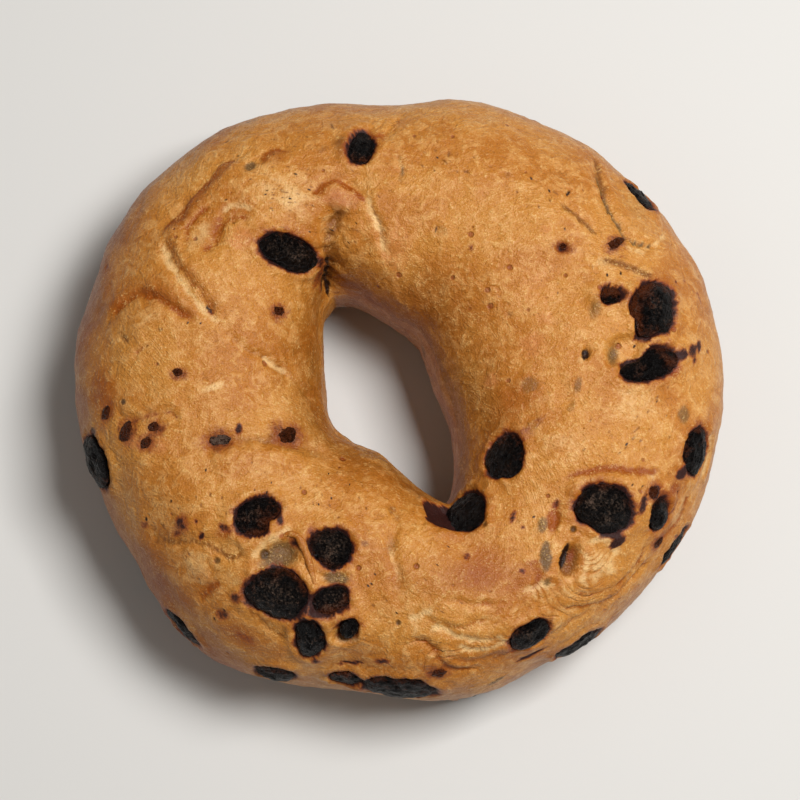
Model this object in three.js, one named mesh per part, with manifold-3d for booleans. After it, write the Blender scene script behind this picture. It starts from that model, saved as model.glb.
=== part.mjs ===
// A baked bread ring with dark dried fruit pressed into its crust, in millimetres, +Z up.
// It lies on its flat base at z = 0. Places on the ring are given by two angles in degrees:
// the ring angle runs counterclockwise from +X, and the section angle runs round the dough
// from 0 at the outer side over 90 on top and 180 at the hole to 270 on the base. A place that
// shows from above is given by its pixel in the reference view instead, which is 800 x 800.
import * as THREE from 'three';
import { mergeVertices } from 'three/addons/utils/BufferGeometryUtils.js';
import Module from 'manifold-3d';

const { degToRad: radians, radToDeg: degrees } = THREE.MathUtils;

// The ring from above: its mean outer radius, and where its edge bulges or dents. A bend is
// [ring angle, spread in degrees, mm], outwards when it is positive.
const RING_WIDTH = 110;
const MEAN_INSET = 2.5;
const OUTER_RADIUS = RING_WIDTH / 2 - MEAN_INSET;
const OUTER_BENDS = [
  [20, 50, 4.5], [90, 11, -2.6], [140, 30, 2.5], [208, 18, -2], [264, 17, -3.3], [300, 14, -1],
];
const RING_CENTRE = new THREE.Vector2(-1.8, -0.5);

// The hole is a slanted lens with pointed ends: the lower its power, the sharper they are.
const HOLE_LENGTH = 43;
const HOLE_WIDTH = 19;
const HOLE_TURN = 118;
const HOLE_POWER = 1.4;
const HOLE_BENDS = [[15, 35, -1.8], [66, 14, 0.8], [118, 8, -2], [195, 35, 1], [272, 28, -2.8]];

const CREST_HEIGHT = 35.5;
const CREST_BENDS = [[90, 45, -1.5], [300, 30, -1.5]];

// The section is a rounded box: its widest level, its roundness and what the base cuts off.
const WAIST_SHARE = 0.44;
const TOP_POWER = 2.15;
const LOW_POWER = 2.45;
const BASE_TRIM = 1.6;
const RING_STEPS = 74;
const SECTION_STEPS = 32;

const UNEVENNESS = 0.35;
const FRUIT_GAP = 0.3;
const FRUIT_THICKNESS = 0.58;
const FRUIT_PROUD = 0.36;
const FRUIT_WAVINESS = 0.07;
const BASE_CLEARANCE = 0.6;
const BIT_PROUD = 0.45;
const LARGE_FRUIT = 9.6;

// The reference view: its middle pixel, its scale at the target, and where it is seen from.
const VIEW = { middle: 400, mmPerPixel: 0.1692, elevation: 80, distance: 450 };
const VIEW_TARGET = new THREE.Vector3(0.1, -0.45, 16);
const VIEW_RIGHT = new THREE.Vector3(1, 0, 0);
const VIEW_UP = new THREE.Vector3(0, Math.sin(radians(VIEW.elevation)), Math.cos(radians(VIEW.elevation)));
const VIEW_BACK = VIEW_RIGHT.clone().cross(VIEW_UP);
const SEARCH_ROUNDS = 40;

// Sum of the bends at a ring angle.
function bendAt(bends, ringAngle) {
  return bends.reduce((sum, [at, spread, rise]) => {
    const apart = THREE.MathUtils.euclideanModulo(ringAngle - at + 180, 360) - 180;
    return sum + rise * Math.exp(-((apart / spread) ** 2));
  }, 0);
}

function holeRadius(ringAngle) {
  const turned = radians(ringAngle - HOLE_TURN);
  const long = Math.abs(2 * Math.cos(turned) / HOLE_LENGTH) ** HOLE_POWER;
  const wide = Math.abs(2 * Math.sin(turned) / HOLE_WIDTH) ** HOLE_POWER;
  return (long + wide) ** (-1 / HOLE_POWER) + bendAt(HOLE_BENDS, ringAngle);
}

// Sizes of the dough's section at a ring angle.
function sectionAt(ringAngle) {
  const outer = OUTER_RADIUS + bendAt(OUTER_BENDS, ringAngle);
  const hole = holeRadius(ringAngle);
  const crest = CREST_HEIGHT + bendAt(CREST_BENDS, ringAngle);
  const waist = WAIST_SHARE * crest;
  return { middle: (outer + hole) / 2, halfWidth: (outer - hole) / 2, waist, rise: crest - waist };
}

const onRing = (ringAngle, sectionAngle) => [ringAngle, sectionAngle];

// Place of the plain ring that shows at a pixel, found by following the line of sight down to
// the height of the dough there.
function seen(x, y) {
  const eye = VIEW_TARGET.clone().addScaledVector(VIEW_BACK, VIEW.distance);
  const sight = VIEW_BACK.clone().multiplyScalar(-VIEW.distance);
  sight.addScaledVector(VIEW_RIGHT, (x - VIEW.middle) * VIEW.mmPerPixel);
  sight.addScaledVector(VIEW_UP, (VIEW.middle - y) * VIEW.mmPerPixel);
  let height = CREST_HEIGHT;
  let place = [0, 0];
  for (let round = 0; round < SEARCH_ROUNDS; round += 1) {
    const point = eye.clone().addScaledVector(sight, (height - eye.z) / sight.z);
    const arm = new THREE.Vector2(point.x, point.y).sub(RING_CENTRE);
    const ringAngle = degrees(arm.angle());
    const { middle, halfWidth, waist, rise } = sectionAt(ringAngle);
    const across = THREE.MathUtils.clamp(arm.length() - middle, -halfWidth, halfWidth);
    const share = Math.abs(across / halfWidth) ** TOP_POWER;
    const top = waist + rise * (1 - share) ** (1 / TOP_POWER);
    height = (height + top) / 2;
    place = [ringAngle, degrees(Math.atan2(top - waist, across))];
  }
  return place;
}

// Folds in the dough: a groove along a route, and a step that lifts the dough on its left.
const FOLDS = [
  {
    route: [
      onRing(120, 190), seen(330, 268), seen(331, 232), seen(345, 205), seen(376, 147), seen(392, 127),
    ],
    width: 3.2,
    groove: 1.3,
  },
  { route: [onRing(296, 190), seen(440, 500), seen(447, 512), seen(458, 528)], width: 2.6, groove: 0.9 },
  {
    route: [
      onRing(218, 165), seen(311, 440), seen(265, 439), seen(215, 425), seen(185, 423), seen(153, 419),
    ],
    width: 2.2,
    groove: 0.8,
  },
  {
    route: [seen(157, 228), seen(167, 255), seen(181, 280), seen(218, 320), seen(245, 347)],
    width: 1.8,
    groove: 0.7,
  },
  {
    route: [seen(157, 228), seen(181, 207), seen(218, 170), seen(250, 163), seen(284, 147)],
    width: 1.6,
    groove: 0.3,
    step: 0.6,
  },
  {
    route: [seen(107, 324), seen(126, 303), seen(147, 294), seen(186, 320)],
    width: 1.6,
    groove: 0.3,
    step: 0.5,
  },
  {
    route: [seen(319, 200), seen(344, 183), seen(360, 191), seen(371, 214), seen(388, 260)],
    width: 1.8,
    groove: 0.4,
    step: 0.5,
  },
  {
    route: [seen(560, 477), seen(604, 468), seen(639, 472), seen(675, 465)],
    width: 1.6,
    groove: 0.5,
    step: 0.4,
  },
  {
    route: [seen(595, 157), seen(603, 182), seen(617, 216), seen(649, 244), seen(666, 241)],
    width: 1.7,
    groove: 0.6,
    step: 0.6,
  },
  {
    route: [seen(390, 649), seen(426, 643), seen(451, 667), seen(503, 667)],
    width: 1.8,
    groove: 0.5,
    step: 0.4,
  },
  {
    route: [seen(514, 656), seen(539, 639), seen(592, 614), seen(650, 565)],
    width: 1.8,
    groove: 0.5,
    step: 0.4,
  },
  { route: [seen(402, 498), seen(396, 520), seen(400, 575), seen(437, 622)], width: 2.4, groove: 0.5 },
];

// Broad swellings and hollows of the dough: a place, how far they reach and how high they rise.
const SWELLINGS = [
  { at: onRing(150, 100), reach: 13, rise: 0.7 },
  { at: onRing(70, 95), reach: 15, rise: 0.6 },
  { at: onRing(235, 85), reach: 12, rise: 0.5 },
  { at: onRing(285, 90), reach: 11, rise: 0.6 },
  { at: onRing(335, 70), reach: 8, rise: 0.5 },
  { at: onRing(20, 66), reach: 8, rise: 0.4 },
  { at: onRing(8, 66), reach: 4, rise: -0.9 },
  { at: onRing(246, 82), reach: 7, rise: -0.5 },
];

// Pockets left open where steam or a lost fruit was: a place, length, width and depth, and the
// slant of its length, counterclockwise from the right as seen in the view.
const OPEN_POCKETS = [
  { at: seen(570, 558), long: 4.5, wide: 3, deep: 1.1, slant: 75 },
  { at: seen(617, 352), long: 6.5, wide: 3, deep: 0.8, slant: 15 },
  { at: seen(363, 636), long: 4.5, wide: 3, deep: 1.1, slant: 55 },
  { at: seen(585, 352), long: 3, wide: 2, deep: 0.6, slant: 0 },
  { at: seen(268, 556), long: 9, wide: 4.5, deep: 0.9, slant: 10 },
];

// Each fruit: its place, length, width, the slant of its length as seen in the view or its turn
// from the ring's direction, and how far it stands proud of the crust where that differs.
const FRUITS = [
  { at: seen(361, 146), long: 6.5, wide: 4.5, slant: 78 },
  { at: seen(289, 253), long: 11, wide: 6, slant: -22 },
  { at: seen(97, 461), long: 9, wide: 6.5, slant: 112, proud: 2 },
  { at: seen(256, 516), long: 7.5, wide: 6.5, slant: 30 },
  { at: seen(331, 547), long: 7, wide: 6.5, slant: 0 },
  { at: seen(279, 593), long: 10, wide: 8, slant: -10 },
  { at: seen(330, 600), long: 6.5, wide: 4.5, slant: 20 },
  { at: seen(310, 638), long: 7, wide: 5, slant: 90 },
  { at: seen(349, 627), long: 4, wide: 3, slant: 60 },
  { at: seen(183, 628), long: 8, wide: 5, slant: -55 },
  { at: seen(273, 673), long: 6.5, wide: 5.5, slant: -12, proud: 1.4 },
  { at: seen(346, 678), long: 5.5, wide: 4, slant: -5 },
  { at: seen(399, 687), long: 11.5, wide: 7.5, slant: 0 },
  { at: seen(505, 457), long: 8, wide: 7, slant: 75 },
  { at: seen(465, 513), long: 9, wide: 8, slant: 10, proud: 1.8 },
  { at: seen(604, 510), long: 9.5, wide: 8.5, slant: 0 },
  { at: seen(657, 514), long: 5, wide: 4, slant: 90 },
  { at: seen(695, 452), long: 8.5, wide: 6, slant: 76 },
  { at: seen(649, 310), long: 10.5, wide: 8.5, slant: 60 },
  { at: seen(650, 363), long: 10.5, wide: 5, slant: 18 },
  { at: seen(610, 296), long: 3.5, wide: 3, slant: 20 },
  { at: seen(641, 195), long: 6, wide: 4.5, slant: -50 },
  { at: seen(529, 634), long: 7, wide: 4.5, slant: 30 },
  { at: seen(578, 643), long: 8.5, wide: 5.5, slant: 32 },
  { at: seen(674, 546), long: 7, wide: 4, slant: 48 },
  { at: onRing(20, -18), long: 8, wide: 6, turn: 10 },
  { at: onRing(63, -8), long: 6.5, wide: 5, turn: 70 },
  { at: onRing(101, -24), long: 9, wide: 6.4, turn: 20 },
  { at: onRing(150, -6), long: 7, wide: 5.4, turn: -40 },
  { at: onRing(173, -30), long: 8.4, wide: 6, turn: 15 },
  { at: onRing(214, -32), long: 7.4, wide: 6, turn: 60 },
  { at: onRing(286, -28), long: 9, wide: 6.8, turn: 5 },
  { at: onRing(60, 205), long: 6.4, wide: 5, turn: 35 },
  { at: onRing(42, 268), long: 8, wide: 6.6, turn: 30 },
  { at: onRing(158, 273), long: 9.4, wide: 7, turn: -20 },
  { at: onRing(262, 264), long: 7, wide: 5.6, turn: 50 },
  { at: onRing(330, 272), long: 6, wide: 5, turn: 10 },
];
const PRESSED_TOGETHER = [[5, 6]];

// Scraps of fruit too small to stand apart, baked into the crust: a place, length, width and slant.
const BITS = [
  { at: seen(279, 311), long: 3, wide: 2.5, slant: 0 },
  { at: seen(178, 372), long: 2, wide: 2, slant: 0 },
  { at: seen(106, 413), long: 3, wide: 2, slant: 60 },
  { at: seen(125, 432), long: 4, wide: 2.5, slant: 68 },
  { at: seen(154, 427), long: 2.5, wide: 2, slant: 0 },
  { at: seen(146, 443), long: 2.5, wide: 2, slant: 40 },
  { at: seen(221, 440), long: 4, wide: 2.5, slant: 0 },
  { at: seen(288, 436), long: 4.5, wide: 3, slant: 0 },
  { at: seen(439, 673), long: 3, wide: 2.5, slant: 0 },
  { at: seen(654, 492), long: 2.5, wide: 2, slant: 70 },
  { at: seen(616, 243), long: 4, wide: 2, slant: 40 },
  { at: seen(563, 246), long: 2, wide: 2, slant: 0 },
  { at: seen(658, 543), long: 3, wide: 2, slant: 55 },
];

const CRUST = { color: 0xc08446, roughness: 0.6, metalness: 0 };
const FRUIT = { color: 0x1e1614, roughness: 0.35, metalness: 0 };

const wasm = await Module();
wasm.setup();

// Point of the plain rounded ring at two angles, moved out by a lift along the section.
function ringPoint(ringAngle, sectionAngle, lift = 0) {
  const { middle, halfWidth, waist, rise } = sectionAt(ringAngle);
  const across = Math.cos(radians(sectionAngle));
  const up = Math.sin(radians(sectionAngle));
  const halfHeight = up >= 0 ? rise : waist + BASE_TRIM;
  const power = up >= 0 ? TOP_POWER : LOW_POWER;
  const sum = Math.abs(across / halfWidth) ** power + Math.abs(up / halfHeight) ** power;
  const reach = sum ** (-1 / power) + lift;
  const radius = middle + reach * across;
  return new THREE.Vector3(
    RING_CENTRE.x + radius * Math.cos(radians(ringAngle)),
    RING_CENTRE.y + radius * Math.sin(radians(ringAngle)),
    waist + reach * up,
  );
}

// Directions on the plain ring: along the ring, along the section, and outward.
function ringFrame(ringAngle, sectionAngle) {
  const along = ringPoint(ringAngle + 0.5, sectionAngle).sub(ringPoint(ringAngle - 0.5, sectionAngle));
  const around = ringPoint(ringAngle, sectionAngle + 0.5).sub(ringPoint(ringAngle, sectionAngle - 0.5));
  along.normalize();
  const outward = along.clone().cross(around).normalize();
  return { along, around: outward.clone().cross(along), outward };
}

// Nearest place of a route to a point: its distance, and which side of the route it is on.
function nearestOnRoute(route, point) {
  let nearest = { distance: Infinity, side: 1 };
  for (let i = 0; i + 1 < route.length; i += 1) {
    const segment = new THREE.Line3(route[i].point, route[i + 1].point);
    const foot = segment.closestPointToPoint(point, true, new THREE.Vector3());
    const distance = foot.distanceTo(point);
    if (distance < nearest.distance) {
      const left = route[i].outward.clone().cross(segment.delta(new THREE.Vector3()));
      nearest = { distance, side: Math.sign(left.dot(point.clone().sub(foot))) || 1 };
    }
  }
  return nearest;
}

const routes = FOLDS.map((fold) => ({
  ...fold,
  path: fold.route.map(([ring, section]) => (
    { point: ringPoint(ring, section), outward: ringFrame(ring, section).outward }
  )),
}));
const mounds = SWELLINGS.map((mound) => ({ ...mound, point: ringPoint(...mound.at) }));

// Height of the crust above the plain ring at a point: swellings, folds and uneven dough.
function relief(point) {
  let height = UNEVENNESS * Math.sin(point.x / 6.1 + 1) * Math.sin(point.y / 5.3 + 2 + point.z / 9);
  height += UNEVENNESS * 0.7 * Math.sin(point.y / 3.1 + point.z / 4) * Math.sin(point.x / 3.7 + 4);
  for (const mound of mounds) {
    height += mound.rise * Math.exp(-((mound.point.distanceTo(point) / mound.reach) ** 2));
  }
  for (const { path, width, groove, step = 0 } of routes) {
    const { distance, side } = nearestOnRoute(path, point);
    height -= groove * Math.exp(-((distance / width) ** 2));
    height += side > 0 ? step * Math.exp(-distance / (3 * width)) * Math.min(1, distance / width) : 0;
  }
  return height;
}

// Point on the finished crust.
function crustPoint(ringAngle, sectionAngle) {
  return ringPoint(ringAngle, sectionAngle, relief(ringPoint(ringAngle, sectionAngle)));
}

// Closed mesh with shared vertices as a solid that can be cut and joined.
function toSolid(geometry, matrix = new THREE.Matrix4()) {
  const bare = geometry.clone().applyMatrix4(matrix);
  bare.deleteAttribute('normal');
  bare.deleteAttribute('uv');
  const merged = mergeVertices(bare, 1e-4);
  return new wasm.Manifold(new wasm.Mesh({
    numProp: 3,
    vertProperties: new Float32Array(merged.attributes.position.array),
    triVerts: new Uint32Array(merged.index.array),
  }));
}

function toGeometry(solid) {
  const mesh = solid.getMesh();
  const geometry = new THREE.BufferGeometry();
  geometry.setAttribute('position', new THREE.BufferAttribute(mesh.vertProperties, 3));
  geometry.setIndex(new THREE.BufferAttribute(mesh.triVerts, 1));
  geometry.computeVertexNormals();
  return geometry;
}

// The ring of dough, with a torus grid laid on the crust and the base cut flat at z = 0.
function doughSolid() {
  const grid = new THREE.TorusGeometry(1, 0.5, SECTION_STEPS, RING_STEPS);
  const { position, uv } = grid.attributes;
  for (let i = 0; i < position.count; i += 1) {
    const point = crustPoint((uv.getX(i) % 1) * 360, (uv.getY(i) % 1) * 360);
    position.setXYZ(i, point.x, point.y, point.z);
  }
  return toSolid(grid).trimByPlane([0, 0, 1], 0);
}

// A fruit's lumpy egg shape about its own middle, grown on every side by a margin.
function fruitGeometry(fruit, seed, detail, margin = 0) {
  const geometry = new THREE.IcosahedronGeometry(1, detail);
  const thick = fruit.wide * FRUIT_THICKNESS;
  const half = new THREE.Vector3(fruit.long, fruit.wide, thick).multiplyScalar(0.5).addScalar(margin);
  const { position } = geometry.attributes;
  const vertex = new THREE.Vector3();
  for (let i = 0; i < position.count; i += 1) {
    vertex.fromBufferAttribute(position, i);
    const ripple = Math.sin(3 * vertex.x + seed) * Math.sin(2.7 * vertex.y + 1.7 * seed);
    const wave = ripple + Math.sin(2 * vertex.z);
    vertex.multiply(half).multiplyScalar(1 + FRUIT_WAVINESS * wave);
    position.setXYZ(i, vertex.x, vertex.y, vertex.z);
  }
  return geometry;
}

const isInBase = ({ at }) => crustPoint(...at).z < 1;

// Where a piece of a given thickness sits: its own Z outward, standing proud of the crust, or
// just inside the flat base.
function seat(piece, thick) {
  const { at, turn = 0, slant, proud = FRUIT_PROUD * thick } = piece;
  const { along, around, outward } = ringFrame(...at);
  const surface = crustPoint(...at);
  if (isInBase(piece)) {
    surface.z = thick / 2 + BASE_CLEARANCE;
    outward.set(0, 0, -1);
  } else {
    surface.addScaledVector(outward, proud - thick / 2);
  }
  const inView = slant !== undefined;
  const [first, second] = inView ? [VIEW_RIGHT, VIEW_UP] : [along, around];
  const angle = radians(inView ? slant : turn);
  const long = first.clone().multiplyScalar(Math.cos(angle)).addScaledVector(second, Math.sin(angle));
  long.addScaledVector(outward, -long.dot(outward)).normalize();
  const wide = outward.clone().cross(long);
  return new THREE.Matrix4().makeBasis(long, wide, outward).setPosition(surface);
}

const fruitDetail = (fruit) => (fruit.long > LARGE_FRUIT ? 2 : 1);

// A scrap or an open pocket as a small solid at its place on the crust.
function smallSolid(piece, thick, proud, detail) {
  const geometry = new THREE.IcosahedronGeometry(0.5, detail);
  geometry.scale(piece.long, piece.wide, thick);
  return toSolid(geometry, seat({ ...piece, proud }, thick));
}

// Fruits as solids in place, each with the room it takes in the bread. One of each pressed
// pair is cut back to leave a gap, and the room of a fruit in the base opens downwards.
function fruitSolids() {
  const solids = FRUITS.map((fruit, i) => {
    const matrix = seat(fruit, fruit.wide * FRUIT_THICKNESS);
    const detail = fruitDetail(fruit);
    const grown = toSolid(fruitGeometry(fruit, i, detail, FRUIT_GAP), matrix);
    return {
      solid: toSolid(fruitGeometry(fruit, i, detail), matrix),
      room: isInBase(fruit) ? grown.add(grown.translate([0, 0, -2 * BASE_CLEARANCE])) : grown,
    };
  });
  for (const [soft, firm] of PRESSED_TOGETHER) {
    solids[soft].solid = solids[soft].solid.subtract(solids[firm].room);
  }
  return solids;
}

// The bread: dough with its scraps joined on, its open pockets and the fruits' seats cut out.
function breadSolid(fruits) {
  let bread = doughSolid();
  for (const bit of BITS) {
    bread = bread.add(smallSolid(bit, bit.wide, BIT_PROUD, 0));
  }
  for (const pocket of OPEN_POCKETS) {
    bread = bread.subtract(smallSolid(pocket, 2 * pocket.deep, pocket.deep, 1));
  }
  for (const { room } of fruits) {
    bread = bread.subtract(room);
  }
  return bread;
}

function namedMesh(name, solid, finish) {
  const mesh = new THREE.Mesh(toGeometry(solid), new THREE.MeshStandardMaterial(finish));
  mesh.name = name;
  return mesh;
}

const bagel = new THREE.Group();
const fruits = fruitSolids();
bagel.add(namedMesh('bread', breadSolid(fruits), CRUST));
fruits.forEach(({ solid }, i) => {
  bagel.add(namedMesh(`berry_${String(i + 1).padStart(2, '0')}`, solid, FRUIT));
});

export default bagel;
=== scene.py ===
"""Dresses a baked bread ring: a folded golden crust with dark dried fruit baked into it.

A place on the ring has a ring angle, counterclockwise from +X, and a section angle, from 0 at the
outer side over 90 on top and 180 at the hole to 270 on the base. A place that shows in the
reference view may be given by its pixel in that view's 800 x 800 frame instead. Lengths are in
millimetres until a mesh is written.
"""
import logging
import math
from dataclasses import dataclass
from enum import Enum
from typing import Any

import bmesh
import bpy
import numpy as np
from mathutils import Matrix, Vector, noise


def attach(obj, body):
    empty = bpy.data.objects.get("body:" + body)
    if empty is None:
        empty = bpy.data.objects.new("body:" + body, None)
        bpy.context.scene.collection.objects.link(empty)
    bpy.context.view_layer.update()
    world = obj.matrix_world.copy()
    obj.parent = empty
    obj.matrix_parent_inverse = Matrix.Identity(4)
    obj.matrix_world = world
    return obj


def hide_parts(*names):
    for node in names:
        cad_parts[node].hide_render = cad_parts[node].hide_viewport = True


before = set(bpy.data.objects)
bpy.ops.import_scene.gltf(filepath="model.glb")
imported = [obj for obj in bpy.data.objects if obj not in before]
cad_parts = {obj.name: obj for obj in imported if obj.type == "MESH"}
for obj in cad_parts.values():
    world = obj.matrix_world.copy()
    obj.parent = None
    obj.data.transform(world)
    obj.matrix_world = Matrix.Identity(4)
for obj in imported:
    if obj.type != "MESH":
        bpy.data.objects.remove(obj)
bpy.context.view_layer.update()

MM = 0.001
Pair = tuple[float, float]
Triple = tuple[float, float, float]
Bends = tuple[Triple, ...]

log = logging.getLogger("bread_ring")


def smooth_step(low: float, high: float, value: np.ndarray) -> np.ndarray:
    """Ease from 0 at low to 1 at high.

    Args:
        low: Value where the ease starts.
        high: Value where it ends. It may be below low, which turns the ease round.
        value: Values to ease.

    Returns:
        The eased values, from 0 to 1.
    """
    share = np.clip((value - low) / (high - low), 0.0, 1.0)
    return share * share * (3.0 - 2.0 * share)


def wander(points: np.ndarray, size: float, seed: float, octaves: int = 1) -> np.ndarray:
    """Smooth random field over points.

    Args:
        points: Points in millimetres, one a row.
        size: Size of the field's features, in millimetres.
        seed: Shift that picks another field.
        octaves: How many finer fields are added.

    Returns:
        Values of about -1 to 1.
    """
    places = (points / size + seed * 17.31).tolist()
    if octaves == 1:
        return np.array([noise.noise(place) for place in places])
    return np.array([noise.fractal(place, 1.0, 2.0, octaves) for place in places])


def bell(distance: np.ndarray, reach: float) -> np.ndarray:
    """Bell curve: 1 at distance 0, and gone at about twice the reach."""
    return np.exp(-((distance / reach) ** 2))


def finish_mesh(bm: bmesh.types.BMesh, name: str) -> bpy.types.Mesh:
    """Write a working mesh to a new mesh, and free it."""
    mesh = bpy.data.meshes.new(name)
    bm.to_mesh(mesh)
    bm.free()
    return mesh


def vertex_places(mesh: bpy.types.Mesh) -> np.ndarray:
    """Places of a mesh's vertices, one a row."""
    flat = np.empty(len(mesh.vertices) * 3)
    mesh.vertices.foreach_get("co", flat)
    return flat.reshape(-1, 3)


def unit(vectors: np.ndarray) -> np.ndarray:
    """Vectors scaled to length 1, one a row."""
    return vectors / np.linalg.norm(vectors, axis=-1, keepdims=True)


class Tone(Enum):
    """Colour or pattern that a feature brings to the crust, by the name of its attribute. At some places
    brown, amber and olive carry painted shade, and pale a painted highlight.
    """

    PALE = "pale"
    AMBER = "amber"
    ROSY = "rosy"
    BROWN = "brown"
    OLIVE = "olive"
    STAIN = "stain"
    DARK = "dark"
    CURLY = "curly"


class Chart(Enum):
    """How a feature gives its place."""

    VIEW = "pixel in the reference view"
    RING = "ring angle and section angle"


@dataclass(frozen=True)
class RingForm:
    """The plain rounded ring that every other shape starts from, in millimetres."""

    width: float = 110.0
    mean_inset: float = 2.5
    outer_bends: Bends = (
        (20, 50, 4.5), (90, 11, -2.6), (140, 30, 2.5), (208, 18, -2), (264, 17, -3.3), (300, 14, -1),
    )
    hole_length: float = 43.0
    hole_width: float = 19.0
    hole_turn: float = 118.0
    hole_power: float = 1.4
    hole_bends: Bends = ((15, 35, -1.8), (66, 14, 0.8), (118, 8, -2), (195, 35, 1), (272, 28, -2.8))
    crest_height: float = 35.5
    crest_bends: Bends = ((90, 45, -1.5), (300, 30, -1.5))
    centre: Pair = (-1.8, -0.5)
    waist_share: float = 0.44
    top_power: float = 2.15
    low_power: float = 2.45
    base_trim: float = 1.6

    @staticmethod
    def bend(bends: Bends, ring: np.ndarray) -> np.ndarray:
        """Sum of bulges and dents round the ring.

        Args:
            bends: Ring angle, spread in degrees and rise in millimetres of each.
            ring: Ring angles in degrees.

        Returns:
            The summed rise at each angle.
        """
        total = np.zeros(np.shape(ring))
        for at, spread, rise in bends:
            apart = np.mod(ring - at + 180.0, 360.0) - 180.0
            total = total + rise * bell(apart, spread)
        return total

    def outer(self, ring: np.ndarray) -> np.ndarray:
        """Radius of the outer edge at ring angles."""
        return self.width / 2 - self.mean_inset + self.bend(self.outer_bends, ring)

    def hole(self, ring: np.ndarray) -> np.ndarray:
        """Radius of the hole, a slanted lens with pointed ends, at ring angles."""
        turned = np.radians(ring - self.hole_turn)
        long = np.abs(2 * np.cos(turned) / self.hole_length) ** self.hole_power
        wide = np.abs(2 * np.sin(turned) / self.hole_width) ** self.hole_power
        return (long + wide) ** (-1.0 / self.hole_power) + self.bend(self.hole_bends, ring)

    def point(self, ring: np.ndarray, section: np.ndarray, lift: Any = 0.0) -> np.ndarray:
        """Points of the ring at two angles.

        Args:
            ring: Ring angles in degrees.
            section: Section angles in degrees.
            lift: How far to move out along the section.

        Returns:
            One point a row.
        """
        outer, hole = self.outer(ring), self.hole(ring)
        crest = self.crest_height + self.bend(self.crest_bends, ring)
        waist = self.waist_share * crest
        across, up = np.cos(np.radians(section)), np.sin(np.radians(section))
        half_width = (outer - hole) / 2
        half_height = np.where(up >= 0, crest - waist, waist + self.base_trim)
        power = np.where(up >= 0, self.top_power, self.low_power)
        total = np.abs(across / half_width) ** power + np.abs(up / half_height) ** power
        reach = total ** (-1.0 / power) + lift
        radius = (outer + hole) / 2 + reach * across
        x = self.centre[0] + radius * np.cos(np.radians(ring))
        y = self.centre[1] + radius * np.sin(np.radians(ring))
        return np.stack([x, y, waist + reach * up], axis=-1)

    def outward(self, ring: np.ndarray, section: np.ndarray) -> np.ndarray:
        """Outward directions of the plain ring at two angles, one a row."""
        step = 0.5
        along = self.point(ring + step, section) - self.point(ring - step, section)
        around = self.point(ring, section + step) - self.point(ring, section - step)
        return unit(np.cross(along, around))


@dataclass(frozen=True)
class ReferenceView:
    """The camera of the reference view, in millimetres and degrees."""

    frame_px: float = 800.0
    mm_per_px: float = 0.1692
    elevation: float = 80.0
    distance: float = 450.0
    target: Triple = (0.1, -0.45, 16.0)
    sensor_width: float = 36.0

    def axes(self) -> tuple[np.ndarray, np.ndarray, np.ndarray]:
        """Right, up and back directions of the view."""
        tilt = math.radians(self.elevation)
        right = np.array([1.0, 0.0, 0.0])
        up = np.array([0.0, math.sin(tilt), math.cos(tilt)])
        back = np.array([0.0, -math.cos(tilt), math.sin(tilt)])
        return right, up, back

    def project(self, points: np.ndarray) -> tuple[np.ndarray, np.ndarray]:
        """Pixels at which points show.

        Args:
            points: Points in millimetres, one a row.

        Returns:
            The pixels as one pair a row, and the points' distances in front of the camera.
        """
        right, up, back = self.axes()
        seen = points - (np.array(self.target) + self.distance * back)
        depth = -(seen @ back)
        focal = self.distance / self.mm_per_px
        middle = self.frame_px / 2
        across, down = focal * (seen @ right) / depth, -focal * (seen @ up) / depth
        return np.stack([middle + across, middle + down], -1), depth

    def ray(self, pixel: Pair) -> tuple[np.ndarray, np.ndarray]:
        """Camera's place, and the direction back to it from what shows at a pixel."""
        right, up, back = self.axes()
        middle = self.frame_px / 2
        across, down = (pixel[0] - middle) * self.mm_per_px, (pixel[1] - middle) * self.mm_per_px
        eye = np.array(self.target) + self.distance * back
        return eye, unit(self.distance * back - across * right + down * up)

    def build(self) -> bpy.types.Object:
        """Make the camera and set it as the scene's.

        Returns:
            The camera object.
        """
        data = bpy.data.cameras.new("reference_camera")
        data.sensor_width = self.sensor_width
        data.lens = self.sensor_width * self.distance / (self.mm_per_px * self.frame_px)
        data.clip_start, data.clip_end = 0.01, 10.0
        camera = bpy.data.objects.new("reference_camera", data)
        back = Vector(self.axes()[2])
        camera.location = (Vector(self.target) + self.distance * back) * MM
        camera.rotation_mode = "QUATERNION"
        camera.rotation_quaternion = back.to_track_quat("Z", "Y")
        bpy.context.collection.objects.link(camera)
        bpy.context.scene.camera = camera
        return camera


@dataclass(frozen=True)
class Fold:
    """A line where the dough laps over itself: a groove, with a step up on its left side.

    Its last value lays painted shade off its step: a soft band of the same tone beside it, on the left, or
    on the right when negative.
    """

    tone: Tone
    route: tuple[Pair, ...]
    width: float
    groove: float
    step: float
    tint: float
    line: float
    shade_band: float = 0.0


@dataclass(frozen=True)
class Mark:
    """A small feature of the crust: a pit, blister, speck, stain or patch.

    Its turn is measured counterclockwise as seen, and its edge is the share of its radius over
    which it fades. A rim is a raised ring at its edge.
    """

    tone: Tone
    at: Pair
    long: float
    wide: float
    turn: float
    edge: float
    tint: float
    rise: float = 0.0
    rim: float = 0.0
    chart: Chart = Chart.VIEW


@dataclass(frozen=True)
class FruitLook:
    """What sets one fruit apart: notches in its outline, how ruddy it is, and how much dust and painted
    sheen its crown shows.
    """

    notches: tuple[Pair, ...] = ()
    ruddy: float = 0.35
    ruddy_from: float = 270.0
    dust: float = 0.35
    wrinkle: float = 0.55
    halo: float = 0.5


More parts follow.
